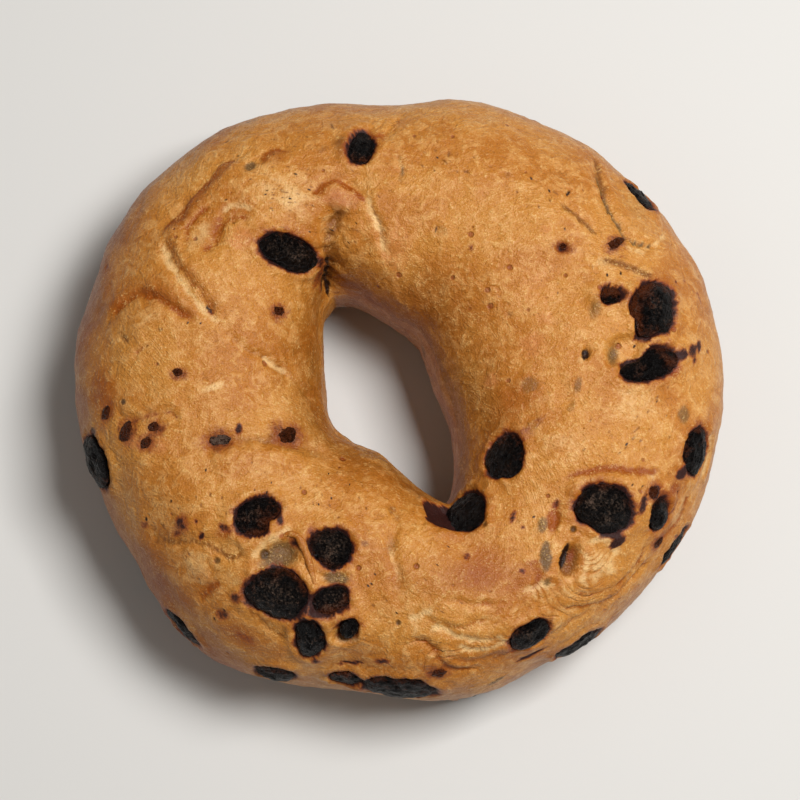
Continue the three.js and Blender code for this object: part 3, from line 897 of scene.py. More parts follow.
@dataclass
class Crust:
    """The bread's skin: the ring with its folds, pockets, blisters and the fruits' seats."""

    form: RingForm
    view: ReferenceView
    finish: bpy.types.Material
    ring_steps: int = 430
    section_steps: int = 214
    circle_at: float = 2.0
    crown_share: float = 0.3
    unevenness: float = 0.35
    twist: int = 2
    flow_along: float = 30.0
    flow_across: float = 52.0
    speck_crowding: float = 1.6
    hidden_marks: int = 150
    hidden_facing: float = 0.2
    seed: int = 7

    @staticmethod
    def folds() -> list[Fold]:
        """Folds of the dough that show, each row a Fold's values after its tone."""
        rows = {
            Tone.PALE: (
                (((362, 193), (372, 212), (380, 233), (388, 262)), 1.3, 0.4, 0.2, 0.75, 0.9),
                (((158, 230), (166, 256), (180, 279), (196, 299), (209, 313),
                  (224, 325)), 1.5, 0.6, 0.3, 0.85, 0.9),
                (((219, 210), (238, 204), (254, 211)), 1, 0.2, 0.3, 0.8, 0.8),
                # Painted highlight: the pale streak from (261, 355) to (288, 374) is a glint.
                (((261, 355), (272, 363), (288, 374)), 1, 0.25, 0.1, 1.2, 0.7),
                (((250, 562), (260, 547), (278, 534), (296, 528)), 1.2, 0.2, 0.5, 0.9, 0.9),
                (((402, 498), (396, 520), (393, 548), (399, 580), (404, 612)), 1.8, 0.4, 0.2, 0.35, 1.2),
                (((620, 238), (640, 247), (660, 240), (668, 228)), 0.9, 0.2, 0.3, 0.9, 0.6),
                (((554, 157), (558, 176), (572, 181), (588, 179)), 0.9, 0.2, -0.25, 0.3, 0.6),
                (((420, 633), (440, 630), (455, 634), (471, 641), (493, 639),
                  (510, 632)), 0.9, 0.3, 0.3, 0.8, 0.7),
                (((703, 426), (711, 444), (710, 464), (703, 479)), 1.1, 0.2, 0.5, 0.9, 0.7),
                (((587, 545), (600, 539), (613, 545), (622, 560)), 1, 0.25, 0.3, 0.9, 0.9),
                (((575, 545), (585, 556), (586, 572), (577, 582)), 0.8, 0, 0.35, 0.8, 0.6),
                (((519, 592), (540, 584), (560, 585)), 0.9, 0.25, 0.2, 0.9, 0.8),
                (((455, 645), (476, 650), (497, 646), (514, 638)), 0.8, 0.2, 0.2, 0.8, 0.7),
                (((405, 622), (423, 616), (437, 606)), 0.9, 0.2, 0.2, 0.9, 0.8),
            ),
            Tone.AMBER: (
                (((341, 204), (352, 180), (366, 150), (375, 118)), 3.4, 0.7, 0, 0.1, 0.6),
                (((315, 202), (320, 188), (332, 181), (347, 185), (360, 194),
                  (367, 206)), 1, 0.45, -0.9, 0.9, 0.6, -0.3),
                (((372, 150), (384, 138), (393, 125), (402, 113)), 1.2, 0.35, 0.3, 0.45, 0.7),
                (((161, 236), (166, 222), (179, 212), (192, 192), (207, 177), (220, 166), (232, 161),
                  (241, 167)), 1.3, 0.5, -0.7, 0.9, 0.6, -0.55),
                (((259, 166), (265, 153), (277, 147), (294, 150)), 1.1, 0.35, -0.4, 0.7, 0.6, -0.5),
                (((215, 252), (219, 233), (227, 220), (242, 216),
                  (256, 222)), 1.2, 0.35, -0.35, 0.6, 0.7, 0.35),
                (((164, 232), (175, 258), (190, 280), (208, 301),
                  (222, 318)), 1.2, 0.4, 0.3, 0.6, 0.5, 0.45),
                (((187, 250), (186, 232), (196, 214), (212, 202)), 1, 0.3, 0.25, 0.7, 0.7, 0.3),
                (((221, 208), (215, 230), (202, 256)), 1, 0.3, -0.25, 0.65, 0.7, -0.4),
                (((107, 326), (118, 308), (135, 295), (152, 294), (167, 305), (186, 317),
                  (203, 325)), 1.3, 0.45, 0.5, 0.85, 0.7, 0.55),
                (((134, 364), (137, 351), (148, 344)), 0.9, 0.25, 0.2, 0.6, 0.5, 0.3),
                (((199, 602), (208, 591), (219, 580)), 1.4, 0.3, 0.2, 0.8, 0.9, 0.3),
                (((443, 607), (456, 600), (471, 604), (492, 605), (508, 596)), 0.9, 0.3, 0.3, 0.5, 0.5),
                (((423, 618), (437, 624), (456, 628), (474, 625), (492, 620)), 1, 0.35, 0.35, 0.55, 0.55),
                (((398, 648), (421, 641), (435, 649), (444, 664), (464, 671),
                  (487, 669)), 1.2, 0.4, 0.4, 0.55, 0.6),
                (((440, 648), (456, 658), (474, 661), (498, 655), (520, 646)), 0.9, 0.25, 0.2, 0.35, 0.5),
                (((487, 669), (504, 656), (530, 646), (553, 633), (580, 620),
                  (606, 603)), 1.2, 0.35, 0.35, 0.5, 0.6),
                (((600, 612), (618, 594), (634, 578), (650, 563)), 1, 0.35, 0.3, 0.5, 0.5),
                (((572, 583), (583, 594), (597, 594), (612, 588), (632, 577)), 1, 0.3, 0.25, 0.5, 0.5),
                (((560, 478), (573, 473), (589, 470), (606, 467), (628, 471), (649, 471),
                  (667, 466)), 1.3, 0.6, -0.4, 0.95, 0.8),
                (((552, 497), (556, 511), (555, 524), (551, 533)), 0.9, 0.4, 0.2, 0.9, 0.7),
                (((610, 594), (628, 577), (641, 559), (648, 543)), 1, 0.3, 0.3, 0.6, 0.6),
                (((547, 601), (567, 608), (588, 608), (608, 600), (628, 586), (646, 567),
                  (662, 546)), 1, 0.35, 0.3, 0.6, 0.6),
                (((532, 563), (538, 576), (532, 590)), 0.9, 0.25, 0.2, 0.7, 0.7),
                (((662, 545), (675, 527), (686, 507), (694, 490)), 1, 0.3, -0.3, 0.6, 0.6),
                (((560, 657), (585, 645), (606, 627), (625, 606)), 1, 0.3, 0.3, 0.5, 0.6),
            ),
            Tone.BROWN: (
                (((332, 304), (332, 276), (330, 250), (334, 226), (342, 204)), 3.2, 1.9, 0, 1, 1.3),
                (((368, 200), (377, 222), (384, 246)), 0.7, 0.15, 0, 0.6, 0.35),
                (((116, 329), (122, 336), (130, 343)), 0.9, 0.25, 0, 0.9, 0.5),
                (((221, 322), (243, 346), (272, 361), (298, 385), (324, 414)), 1.6, 0.45, 0.2, 0.4, 0.7),
                (((334, 452), (314, 447), (296, 444), (268, 439), (238, 437), (212, 441),
                  (199, 446)), 2.2, 0.8, 0.3, 0.5, 0.9),
                (((140, 537), (172, 540), (203, 543), (229, 554),
                  (248, 555)), 1.2, 0.45, -0.5, 0.9, 0.5, 0.3),
                (((242, 603), (259, 620), (275, 634), (292, 643)), 1, 0.4, -0.3, 0.9, 0.5, -0.3),
                (((595, 156), (601, 178), (609, 200)), 0.9, 0.2, 0, 1, 0.5),
                (((558, 203), (570, 211), (584, 222), (601, 239)), 1.1, 0.5, -0.4, 0.9, 0.6, -0.2),
                (((598, 255), (616, 262), (634, 270), (655, 280)), 1.3, 0.2, -0.2, 0.9, 0.8),
            ),
            Tone.OLIVE: (
                (((398, 150), (402, 168), (399, 184)), 1, 0.3, 0, 0.5, 0.8),
                (((594, 155), (600, 176), (608, 198), (618, 220), (633, 237), (651, 245),
                  (669, 240)), 1.4, 0.6, 0.6, 0.8, 0.5),
            ),
            Tone.STAIN: (
                (((110, 414), (130, 417), (150, 414), (168, 412), (184, 425)), 1.2, 0.35, 0.3, 0.35, 0.6),
                (((344, 560), (352, 575), (352, 594), (342, 611)), 1, 0.1, -0.4, 0.3, 0.6),
                (((668, 520), (676, 502), (681, 486)), 0.8, 0.25, 0.2, 0.5, 0.5),
            ),
            Tone.DARK: (
                (((332, 304), (331, 282), (329, 258)), 1, 0.3, 0, 0.8, 0.7),
            ),
        }
        return [Fold(tone, *row) for tone, group in rows.items() for row in group]

    @staticmethod
    def marks() -> list[Mark]:
        """Small features that show, each row a Mark's values after its tone."""
        rows = {
            Tone.PALE: (
                ((628, 348), 7.4, 5, 25, 0.35, 0.4, -1.5, 0.15),
                ((352, 640), 3.4, 1.2, 20, 0.6, 0.8, 0.2),
                ((580, 360), 2.4, 1.8, 80, 0.6, 0.6, 0.15, 0.05),
                ((604, 262), 4.4, 2.6, 20, 0.8, 0.7, 0.1), ((577, 197), 3.4, 2, 60, 0.8, 0.5, 0.12),
                ((668, 312), 3, 4.6, 60, 1, 0.6), ((690, 335), 4, 6, 60, 1, 0.5),
                ((655, 473), 3.6, 2, 0, 0.9, 0.6, 0.1), ((192, 570), 16, 8, -25, 1, 0.5),
                ((201, 232), 7, 3.4, 65, 0.8, 0.6, -0.2), ((293, 195), 10, 8, 0, 1, 0.6),
                ((215, 386), 4.6, 1.6, 20, 0.9, 0.9), ((152, 318), 7, 4.6, 0, 0.9, 0.3, 0.2),
                ((680, 514), 8, 5, 60, 1, 0.6), ((603, 565), 8, 6, 45, 1, 0.6),
                # Painted highlight: the broad pale patch at (640, 400) brightens the crust's lit right side.
                ((560, 440), 16, 7, 20, 1, 0.35), ((640, 400), 15, 10, 0, 1, 0.55),
                ((270, 185), 12, 7, 30, 1, 0.55), ((340, 215), 9, 6, 60, 1, 0.45),
                ((196, 240), 8, 4, 60, 1, 0.5), ((210, 300), 10, 6, 50, 1, 0.3),
                ((420, 625), 12, 4.5, -5, 1, 0.35), ((530, 590), 10, 4, 25, 1, 0.5),
                ((600, 560), 9, 7, 45, 1, 0.4), ((200, 560), 10, 5, -10, 1, 0.35),
                ((250, 470), 12, 6, 0, 1, 0.25),
            ),
            Tone.AMBER: (
                ((675, 370), 3.4, 2.2, 30, 0.7, 1), ((534, 562), 3.4, 1.5, 10, 0.8, 0.7),
                ((553, 519), 4.8, 2, 85, 0.8, 1.2), ((675, 488), 3, 1.8, 0, 0.6, 0.9, -0.2),
                ((222, 533), 4, 2.4, 0, 0.9, 0.8), ((285, 535), 3, 1.2, 10, 0.8, 0.8),
                ((158, 577), 2, 1.4, 60, 0.9, 0.8), ((381, 134), 3.4, 1.6, 45, 0.9, 0.9),
                ((341, 197), 6.6, 3.6, 0, 0.9, 0.4, 0.3), ((515, 405), 15, 10, 45, 1, 0.4),
                ((620, 590), 14, 8, 40, 1, 0.45), ((450, 125), 30, 9, 0, 1, 0.25),
                # Painted shade: the broad amber patches at (100, 390) and (140, 590) darken the left and
                # lower left edges, away from the key light.
                ((240, 640), 20, 9, -30, 1, 0.6), ((100, 390), 22, 8, 92, 1, 0.6),
                ((462, 578), 26, 12, 5, 1, 0.6), ((150, 400), 14, 10, 80, 1, 0.2),
                ((140, 590), 24, 10, -52, 1, 0.75),
            ),
            Tone.ROSY: (
                ((544, 231), 3, 1.7, 0, 0.5, 0.6, 0.15, 0.06), ((491, 379), 4.4, 3.6, 40, 0.9, 0.9),
                ((530, 345), 7.5, 5, 40, 1, 0.8), ((545, 318), 5, 3.5, 20, 1, 0.7),
                ((132, 442), 5, 3, 0, 0.9, 1), ((158, 446), 5, 3.6, 0, 1, 0.9),
                ((341, 197), 6.6, 3.6, 0, 0.9, 1), ((240, 236), 5.6, 4.4, 40, 1, 1),
                ((395, 250), 14, 9, 80, 1, 0.6), ((540, 290), 14, 9, 40, 1, 0.5),
            ),
            Tone.BROWN: (
                ((572, 561), 6.2, 3.2, 75, 0.4, 1, -1.5, 0.12), ((562, 246), 3, 2, 0, 0.5, 1, -0.5, 0.12),
                ((508, 177), 2, 1.5, 60, 0.9, 0.6), ((447, 154), 1.4, 0.9, 60, 0.6, 0.9, -0.2),
                ((434, 149), 1.3, 1, 0, 0.8, 0.6), ((472, 157), 0.9, 0.7, 0, 0.7, 0.8, -0.1),
                ((507, 314), 1.4, 1.2, 0, 0.7, 0.8, -0.2), ((428, 291), 1.1, 0.8, 0, 0.7, 0.8, -0.1),
                ((394, 507), 1.6, 1.2, 0, 0.8, 0.8), ((366, 543), 1.6, 1.3, 0, 0.7, 0.9),
                ((398, 517), 2.4, 1.4, 60, 0.9, 0.5), ((393, 512), 1.2, 1, 0, 0.8, 0.8),
                ((177, 217), 2, 1.4, 45, 0.7, 1.2, -0.2), ((339, 142), 3.4, 4.6, 0, 1, 0.8),
                ((332, 125), 0.8, 2.2, 0, 0.7, 1.2), ((233, 221), 0.9, 0.7, 0, 0.6, 0.9, -0.1),
                ((162, 329), 1, 0.8, 0, 0.6, 0.9, -0.1), ((146, 345), 0.9, 0.8, 0, 0.6, 0.9, -0.1),
                ((107, 325), 1.4, 1, 45, 0.6, 0.9), ((333, 125), 1.8, 0.8, 95, 0.7, 0.9),
                ((344, 150), 4.6, 3.4, 60, 1, 0.7), ((324, 147), 2.6, 1.6, 60, 0.9, 0.7),
                ((273, 136), 0.9, 0.7, 0, 0.6, 0.8), ((275, 437), 3.4, 2.6, 0, 0.6, 0.7, 0.2, 0.1),
                # Painted shade: the broad brown patch at (314, 365) darkens the hole's left side.
                ((314, 365), 18, 9, 80, 1, 0.7),
            ),
            Tone.OLIVE: (
                # Painted shade: the olive patch at (617, 353) darkens the left wall of the pale hollow at
                # (628, 348).
                ((617, 353), 5, 3, 70, 0.9, 0.9, -0.3), ((279, 554), 7.6, 4.8, 20, 0.6, 1, -1.3, 0.12),
                ((337, 577), 5, 2.8, -10, 0.7, 1, -0.8),
                ((345, 634), 4.2, 3.8, 30, 0.35, 0.8, -1.3, 0.15),
                ((248, 164), 3, 2.3, 60, 0.8, 0.95, -0.5),
                ((577, 383), 3.8, 1.7, 78, 0.7, 0.65, 0.15, 0.08),
                ((571, 404), 3, 1.8, 60, 0.6, 0.5, 0.12, 0.06),
                ((595, 309), 5.4, 2.9, 75, 0.8, 0.6, 0.2, 0.08),
                ((528, 384), 4, 3.2, 20, 0.4, 0.55, 0.1, 0.18),
                ((441, 230), 3, 2.6, 0, 0.4, 0.4, 0.1, 0.16),
                ((548, 556), 5.2, 2.4, 86, 0.4, 0.9, 0.15, 0.08),
                ((549, 580), 2, 1.5, 60, 0.5, 0.75, 0.1, 0.05),
                ((542, 523), 3.4, 2.2, 80, 0.5, 0.75, 0.1), ((497, 681), 4.2, 1.4, 22, 0.6, 0.9, 0.1),
                ((533, 425), 5.4, 2.6, 35, 0.6, 0.45, 0.12, 0.06),
                ((686, 415), 4.2, 3, 70, 0.5, 0.7, 0.15, 0.08), ((636, 205), 13, 8.5, -58, 0.9, 0.42),
                ((596, 484), 6, 2.2, 0, 1, 0.45), ((393, 545), 5.6, 3, 80, 1, 0.5),
            ),
            Tone.STAIN: (
                ((573, 562), 5, 2.2, 76, 0.8, 0.45), ((564, 247), 1.6, 1.2, 0, 0.6, 0.9, -0.3),
                ((604, 192), 1.3, 1, 0, 0.7, 0.6), ((469, 248), 1.2, 1.3, 0, 0.7, 0.65, -0.1),
                ((683, 352), 2.8, 2, 20, 0.5, 0.95, 0.15), ((692, 349), 2.6, 2.2, 60, 0.5, 0.8, 0.15),
                ((697, 358), 2, 1.4, 60, 0.5, 0.8, 0.1), ((701, 345), 2.4, 1.5, 60, 0.5, 0.9, 0.1),
                ((674, 283), 1, 0.7, 60, 0.6, 0.8, -0.1), ((686, 282), 1.5, 1.2, 0, 0.5, 0.5, 0, 0.06),
                ((700, 297), 3.2, 1.2, -65, 0.7, 0.5), ((521, 437), 6.5, 3, 45, 0.9, 0.4),
                ((539, 419), 4.2, 1.4, 40, 0.9, 0.4), ((513, 514), 2.8, 1.2, 75, 0.6, 0.7),
                ((523, 524), 1.1, 0.9, 0, 0.6, 0.65), ((467, 556), 1.4, 1.3, 0, 0.5, 0.6, -0.1),
                ((523, 570), 1.3, 1.1, 0, 0.6, 0.7, -0.1), ((555, 504), 2, 1.4, 60, 0.7, 0.6),
                ((653, 491), 2.8, 2, 70, 0.6, 1, 0.1), ((640, 505), 3.6, 1.5, 70, 0.7, 0.9),
                ((612, 534), 3.4, 2.2, -30, 0.6, 1, 0.2), ((666, 502), 2.2, 1.2, 60, 0.7, 0.7),
                ((618, 541), 3.2, 2.2, 45, 0.4, 1, 0.35), ((640, 502), 3.4, 1.6, 60, 0.8, 0.7),
                ((681, 475), 3.6, 2.2, 30, 0.6, 1, 0.15), ((622, 255), 1.5, 1.1, 0, 0.7, 0.5),
                ((181, 524), 4.6, 3.4, 75, 0.9, 0.6), ((181, 520), 2, 1.6, 60, 0.6, 0.9, 0.1),
                ((176, 533), 3, 1.6, 20, 0.8, 0.6), ((144, 525), 2.6, 2.2, 0, 0.9, 0.55),
                ((196, 520), 0.9, 1.2, 0, 0.6, 0.9, -0.2), ((199, 535), 1.7, 1.1, 60, 0.6, 1, -0.2),
                ((224, 528), 3, 1.7, -35, 0.7, 0.75), ((279, 519), 1.6, 2.2, 0, 0.7, 0.85),
                ((297, 542), 3.6, 2.4, -20, 0.8, 0.75), ((235, 597), 2.8, 2.6, 60, 0.8, 0.7),
                ((221, 615), 3.2, 2.4, 20, 0.7, 0.65, -0.2, 0.1), ((243, 637), 5.4, 2.6, -25, 0.9, 0.5),
                ((316, 661), 1.8, 1.7, 0, 0.6, 0.8), ((317, 654), 1.2, 0.8, 0, 0.6, 0.6),
                ((381, 662), 3, 1.5, 15, 0.7, 0.75, 0.1), ((348, 666), 5, 0.9, 10, 0.5, 1, -0.3),
                ((313, 601), 3.2, 2.6, 60, 0.8, 0.9), ((534, 657), 6.4, 1.1, 26, 0.5, 1, -0.35, 0.05),
                ((643, 570), 3.4, 0.9, 45, 0.6, 0.8, -0.2), ((322, 275), 6.6, 3, 80, 0.8, 0.6),
                ((210, 311), 1.4, 1, -50, 0.6, 0.8, -0.2), ((319, 262), 5, 2.4, -35, 0.7, 0.75, 0.1),
                ((327, 284), 6, 2, -75, 0.8, 0.55), ((240, 427), 1.4, 2.1, 0, 0.6, 0.8),
                ((145, 437), 8, 5, 0, 1, 0.25),
            ),
            Tone.DARK: (
                ((568, 557), 5.2, 1.7, 76, 0.4, 1, -0.5),
                ((586, 352), 2.6, 1.7, 75, 0.35, 0.75, -0.9, 0.1),
                ((436, 230), 1.2, 0.8, 70, 0.5, 0.7, -0.3),
                ((569, 191), 1.4, 1.1, 50, 0.5, 0.8, -0.5, 0.05),
                ((621, 273), 1, 0.7, -20, 0.6, 0.9, -0.2), ((531, 177), 0.9, 0.7, 0, 0.6, 0.9, -0.2),
                ((534, 514), 0.7, 0.6, 0, 0.6, 0.9, -0.1), ((172, 500), 0.8, 0.7, 0, 0.6, 0.8),
                ((214, 619), 0.8, 0.8, 20, 0.6, 0.8, -0.2), ((225, 611), 0.9, 0.7, 20, 0.6, 0.8, -0.2),
                ((372, 582), 0.7, 0.6, 0, 0.6, 0.9, -0.1), ((370, 587), 0.7, 0.5, 0, 0.6, 0.9, -0.1),
                ((377, 575), 0.7, 0.6, 70, 0.6, 0.8, -0.1), ((328, 288), 4.4, 1.6, 85, 0.7, 0.7),
                ((252, 178), 1, 0.7, 45, 0.6, 0.7, -0.1), ((187, 323), 0.6, 0.5, 0, 0.6, 0.8),
                ((200, 323), 0.6, 0.5, 0, 0.6, 0.8), ((209, 309), 2, 1, -50, 0.6, 0.7, -0.2),
            ),
            Tone.CURLY: (
                ((560, 610), 34, 14, 25, 1, 1), ((430, 655), 20, 10, 0, 1, 0.9),
                ((610, 470), 20, 12, 0, 1, 0.5),
            ),
        }
        return [Mark(tone, *row) for tone, group in rows.items() for row in group]

    def build(self, seats: list[FruitSeat]) -> bpy.types.Object:
        """Model and dress the crust.

        Args:
            seats: Where the fruits lie.

        Returns:
            The crust, which stands for the bread's solid.
        """
        mesh = self._grid()
        ring, section = self._angles(mesh)
        field = CrustField(self.form, self.view, ring, section)
        self._shape(field, seats)
        lifted = self.form.point(ring, section, field.height)
        lifted[:, 2] = np.maximum(lifted[:, 2], 0.0)
        mesh.vertices.foreach_set("co", (lifted * MM).ravel())
        for tone, share in field.tones.items():
            set_attribute(mesh, tone.value, np.clip(share, 0.0, 1.0))
        self._write_flow(mesh, ring, section)
        mesh.update()
        piece = new_piece("crust", mesh, self.finish)
        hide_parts("bread")
        return piece

    def _grid(self) -> bpy.types.Mesh:
        """Spin a circle into a closed ring of small faces."""
        bm = bmesh.new()
        bmesh.ops.create_circle(bm, segments=self.section_steps, radius=1.0)
        bmesh.ops.rotate(bm, verts=bm.verts, cent=(0, 0, 0), matrix=Matrix.Rotation(math.pi / 2, 3, "X"))
        bmesh.ops.translate(bm, verts=bm.verts, vec=(self.circle_at, 0.0, 0.0))
        bmesh.ops.spin(bm, geom=bm.verts[:] + bm.edges[:], cent=(0, 0, 0), axis=(0, 0, 1), dvec=(0, 0, 0),
                       angle=2 * math.pi, steps=self.ring_steps, use_merge=True)
        bmesh.ops.recalc_face_normals(bm, faces=bm.faces)
        return finish_mesh(bm, "crust")

    def _angles(self, mesh: bpy.types.Mesh) -> tuple[np.ndarray, np.ndarray]:
        """Ring and section angle of each vertex, with the rows drawn together on top."""
        x, y, z = vertex_places(mesh).T
        ring = np.degrees(np.arctan2(y, x))
        turn = np.arctan2(z, np.hypot(x, y) - self.circle_at)
        section = np.degrees(turn + self.crown_share * np.cos(turn))
        return ring, section

    def _shape(self, field: CrustField, seats: list[FruitSeat]) -> None:
        """Gather every feature of the crust."""
        spots = field.points
        x, y, z = spots.T
        field.height += self.unevenness * np.sin(x / 6.1 + 1) * np.sin(y / 5.3 + 2 + z / 9)
        field.height += 0.7 * self.unevenness * np.sin(y / 3.1 + z / 4) * np.sin(x / 3.7 + 4)
        field.height += 0.22 * wander(spots, 4.2, 1.0, 3) + 0.05 * wander(spots, 1.1, 2.0, 2)
        for at, reach, rise in self._swellings():
            middle = self.form.point(np.array([at[0]]), np.array([at[1]]))[0]
            distance = np.linalg.norm(spots - middle, axis=1)
            field.height += rise * bell(distance, reach)
        for fold in self.folds():
            field.lay_fold(fold)
        for mark in (*self.marks(), *self._speckled(), *self._hidden(field)):
            field.lay_mark(mark)
        for seat in seats:
            field.seat_fruit(seat)
        for scrap in Scraps.scraps():
            field.lay_mark(Mark(Tone.STAIN, scrap.at, 2.0 * scrap.long, 2.1 * scrap.wide, scrap.turn, 0.95,
                                0.62, -0.2))
        # Painted shade on the flanks, the base, the hole side and the left flank.
        self._paint_side_shade(field)

    @staticmethod
    def _swellings() -> tuple[tuple[Pair, float, float], ...]:
        """Broad swellings and hollows of the dough: a place, how far they reach, how high."""
        return (
            ((150, 100), 13, 0.7), ((70, 95), 15, 0.6), ((235, 85), 12, 0.5), ((285, 90), 11, 0.6),
            ((335, 70), 8, 0.5), ((20, 66), 8, 0.4), ((8, 66), 4, -0.4), ((246, 82), 7, -0.2),
        )

    def _speckled(self) -> tuple[Mark, ...]:
        """Fine brown specks strewn over the places that show most of them."""
        draw = np.random.default_rng(self.seed + 1)
        areas = (
            ((292, 200), 34, 34, 60), ((350, 235), 26, 40, 30), ((210, 500), 60, 40, 30),
            ((330, 500), 60, 30, 30), ((430, 165), 50, 30, 20), ((560, 215), 40, 60, 30),
            ((640, 420), 50, 50, 30), ((420, 600), 40, 30, 20), ((250, 130), 60, 20, 20),
        )
        made = []
        for (x, y), wide, high, count in areas:
            for _ in range(count):
                across = wide * draw.normal() / self.speck_crowding
                at = (x + across, y + high * draw.normal() / self.speck_crowding)
                long, turn = draw.uniform(0.3, 0.7), draw.uniform(0, 180)
                tone = Tone.DARK if draw.uniform() < 0.3 else Tone.BROWN
                made.append(Mark(tone, at, long, 0.6 * long, turn, 0.8, draw.uniform(0.4, 1.0), -0.05))
        return tuple(made)

    def _hidden(self, field: CrustField) -> tuple[Mark, ...]:
        """Marks like those that show, scattered where the reference view doesn't reach."""
        draw = np.random.default_rng(self.seed)
        kinds = (
            (Tone.DARK, (0.6, 1.2), -0.2, 0.8), (Tone.STAIN, (1.2, 3.6), 0.0, 0.7),
            (Tone.OLIVE, (2.0, 4.6), 0.12, 0.6), (Tone.PALE, (3.0, 8.0), 0.0, 0.5),
            (Tone.BROWN, (1.0, 2.0), -0.1, 0.8), (Tone.ROSY, (3.0, 8.0), 0.0, 0.8),
            (Tone.AMBER, (2.0, 6.0), -0.15, 0.5),
        )
        made = []
        while len(made) < self.hidden_marks:
            at = (draw.uniform(0, 360), draw.uniform(-120, 240))
            tone, sizes, rise, tint = kinds[draw.integers(len(kinds))]
            long = draw.uniform(*sizes)
            wide = long * draw.uniform(0.4, 0.9)
            turn = draw.uniform(0, 180)
            if field.facing[field.find(at, Chart.RING)] < self.hidden_facing:
                made.append(Mark(tone, at, long, wide, turn, 0.8, tint, rise, chart=Chart.RING))
        return tuple(made)

    def _paint_side_shade(self, field: CrustField) -> None:
        """Paint shade into the crust: browner down the flanks and over the base than on the crown, browner
        still on the hole side, and amber on the left flank, which faces away from the key light.
        """
        level = np.sin(np.radians(field.section))
        patchy = 0.18 * wander(field.points, 9.0, 5.0, 2)
        # Painted shade, browner the lower the crust faces, down the flanks to the base.
        field.add_tone(Tone.BROWN, np.clip(smooth_step(0.75, -0.6, level) * 0.55 + patchy, 0.0, 1.0))
        # Painted shade inside the hole, which the light hardly reaches.
        hole_shade = smooth_step(104.0, 148.0, field.section) * smooth_step(262.0, 200.0, field.section)
        field.add_tone(Tone.BROWN, hole_shade * (0.5 + patchy))
        field.add_tone(Tone.AMBER, hole_shade * (0.15 + patchy))
        # Painted shade on the left flank, away from the key light.
        left = smooth_step(30.0, -60.0, field.section) + smooth_step(58.0, 20.0, field.section) * 0.5
        left *= smooth_step(-10.0, -40.0, field.points[:, 0])
        field.add_tone(Tone.AMBER, np.clip(left, 0.0, 0.8))

    def _write_flow(self, mesh: bpy.types.Mesh, ring: np.ndarray, section: np.ndarray) -> None:
        """Write seamless coordinates that follow the rolled and twisted dough."""
        along = np.radians(ring)
        across = np.radians(section) - self.twist * along
        flow = np.stack([self.flow_along * np.cos(along), self.flow_along * np.sin(along),
                         self.flow_across * np.cos(across)], -1)
        set_attribute(mesh, "flow", flow)
        set_attribute(mesh, "flow_w", self.flow_across * np.sin(across))


@dataclass(frozen=True)
class Ground:
    """Finished pieces that small ones lie on, found by rays."""

    view: ReferenceView
    pieces: tuple[bpy.types.Object, ...]

    def under(self, at: Pair) -> tuple[np.ndarray, np.ndarray]:
        """Find the outermost surface at a pixel.

        Args:
            at: The pixel.

        Returns:
            The point in millimetres and the direction that the ray came from.
        """
        start, lean = self.view.ray(at)
        origin, heading = Vector(start) * MM, Vector(-lean)
        hits = [piece.ray_cast(origin, heading) for piece in self.pieces]
        spots = [spot for found, spot, _, _ in hits if found]
        return np.array(min(spots, key=lambda spot: (spot - origin).length)) / MM, lean

    def tilt(self, at: Pair, reach_px: float = 5.0) -> np.ndarray:
        """Outward direction of the surface at a pixel, evened out over a few pixels round it."""
        beside = ((reach_px, 0.0), (-reach_px, 0.0), (0.0, -reach_px), (0.0, reach_px))
        right, left, high, low = (self.under((at[0] + x, at[1] + y))[0] for x, y in beside)
        return unit(np.cross(right - left, high - low))


@dataclass(frozen=True)
class Scrap:
    """A crumb of fruit stuck in the crust: its pixel, and its sizes in millimetres."""

    at: Pair
    long: float
    wide: float
    turn: float = 0.0
    ruddy: float = 0.6
    dust: float = 0.6


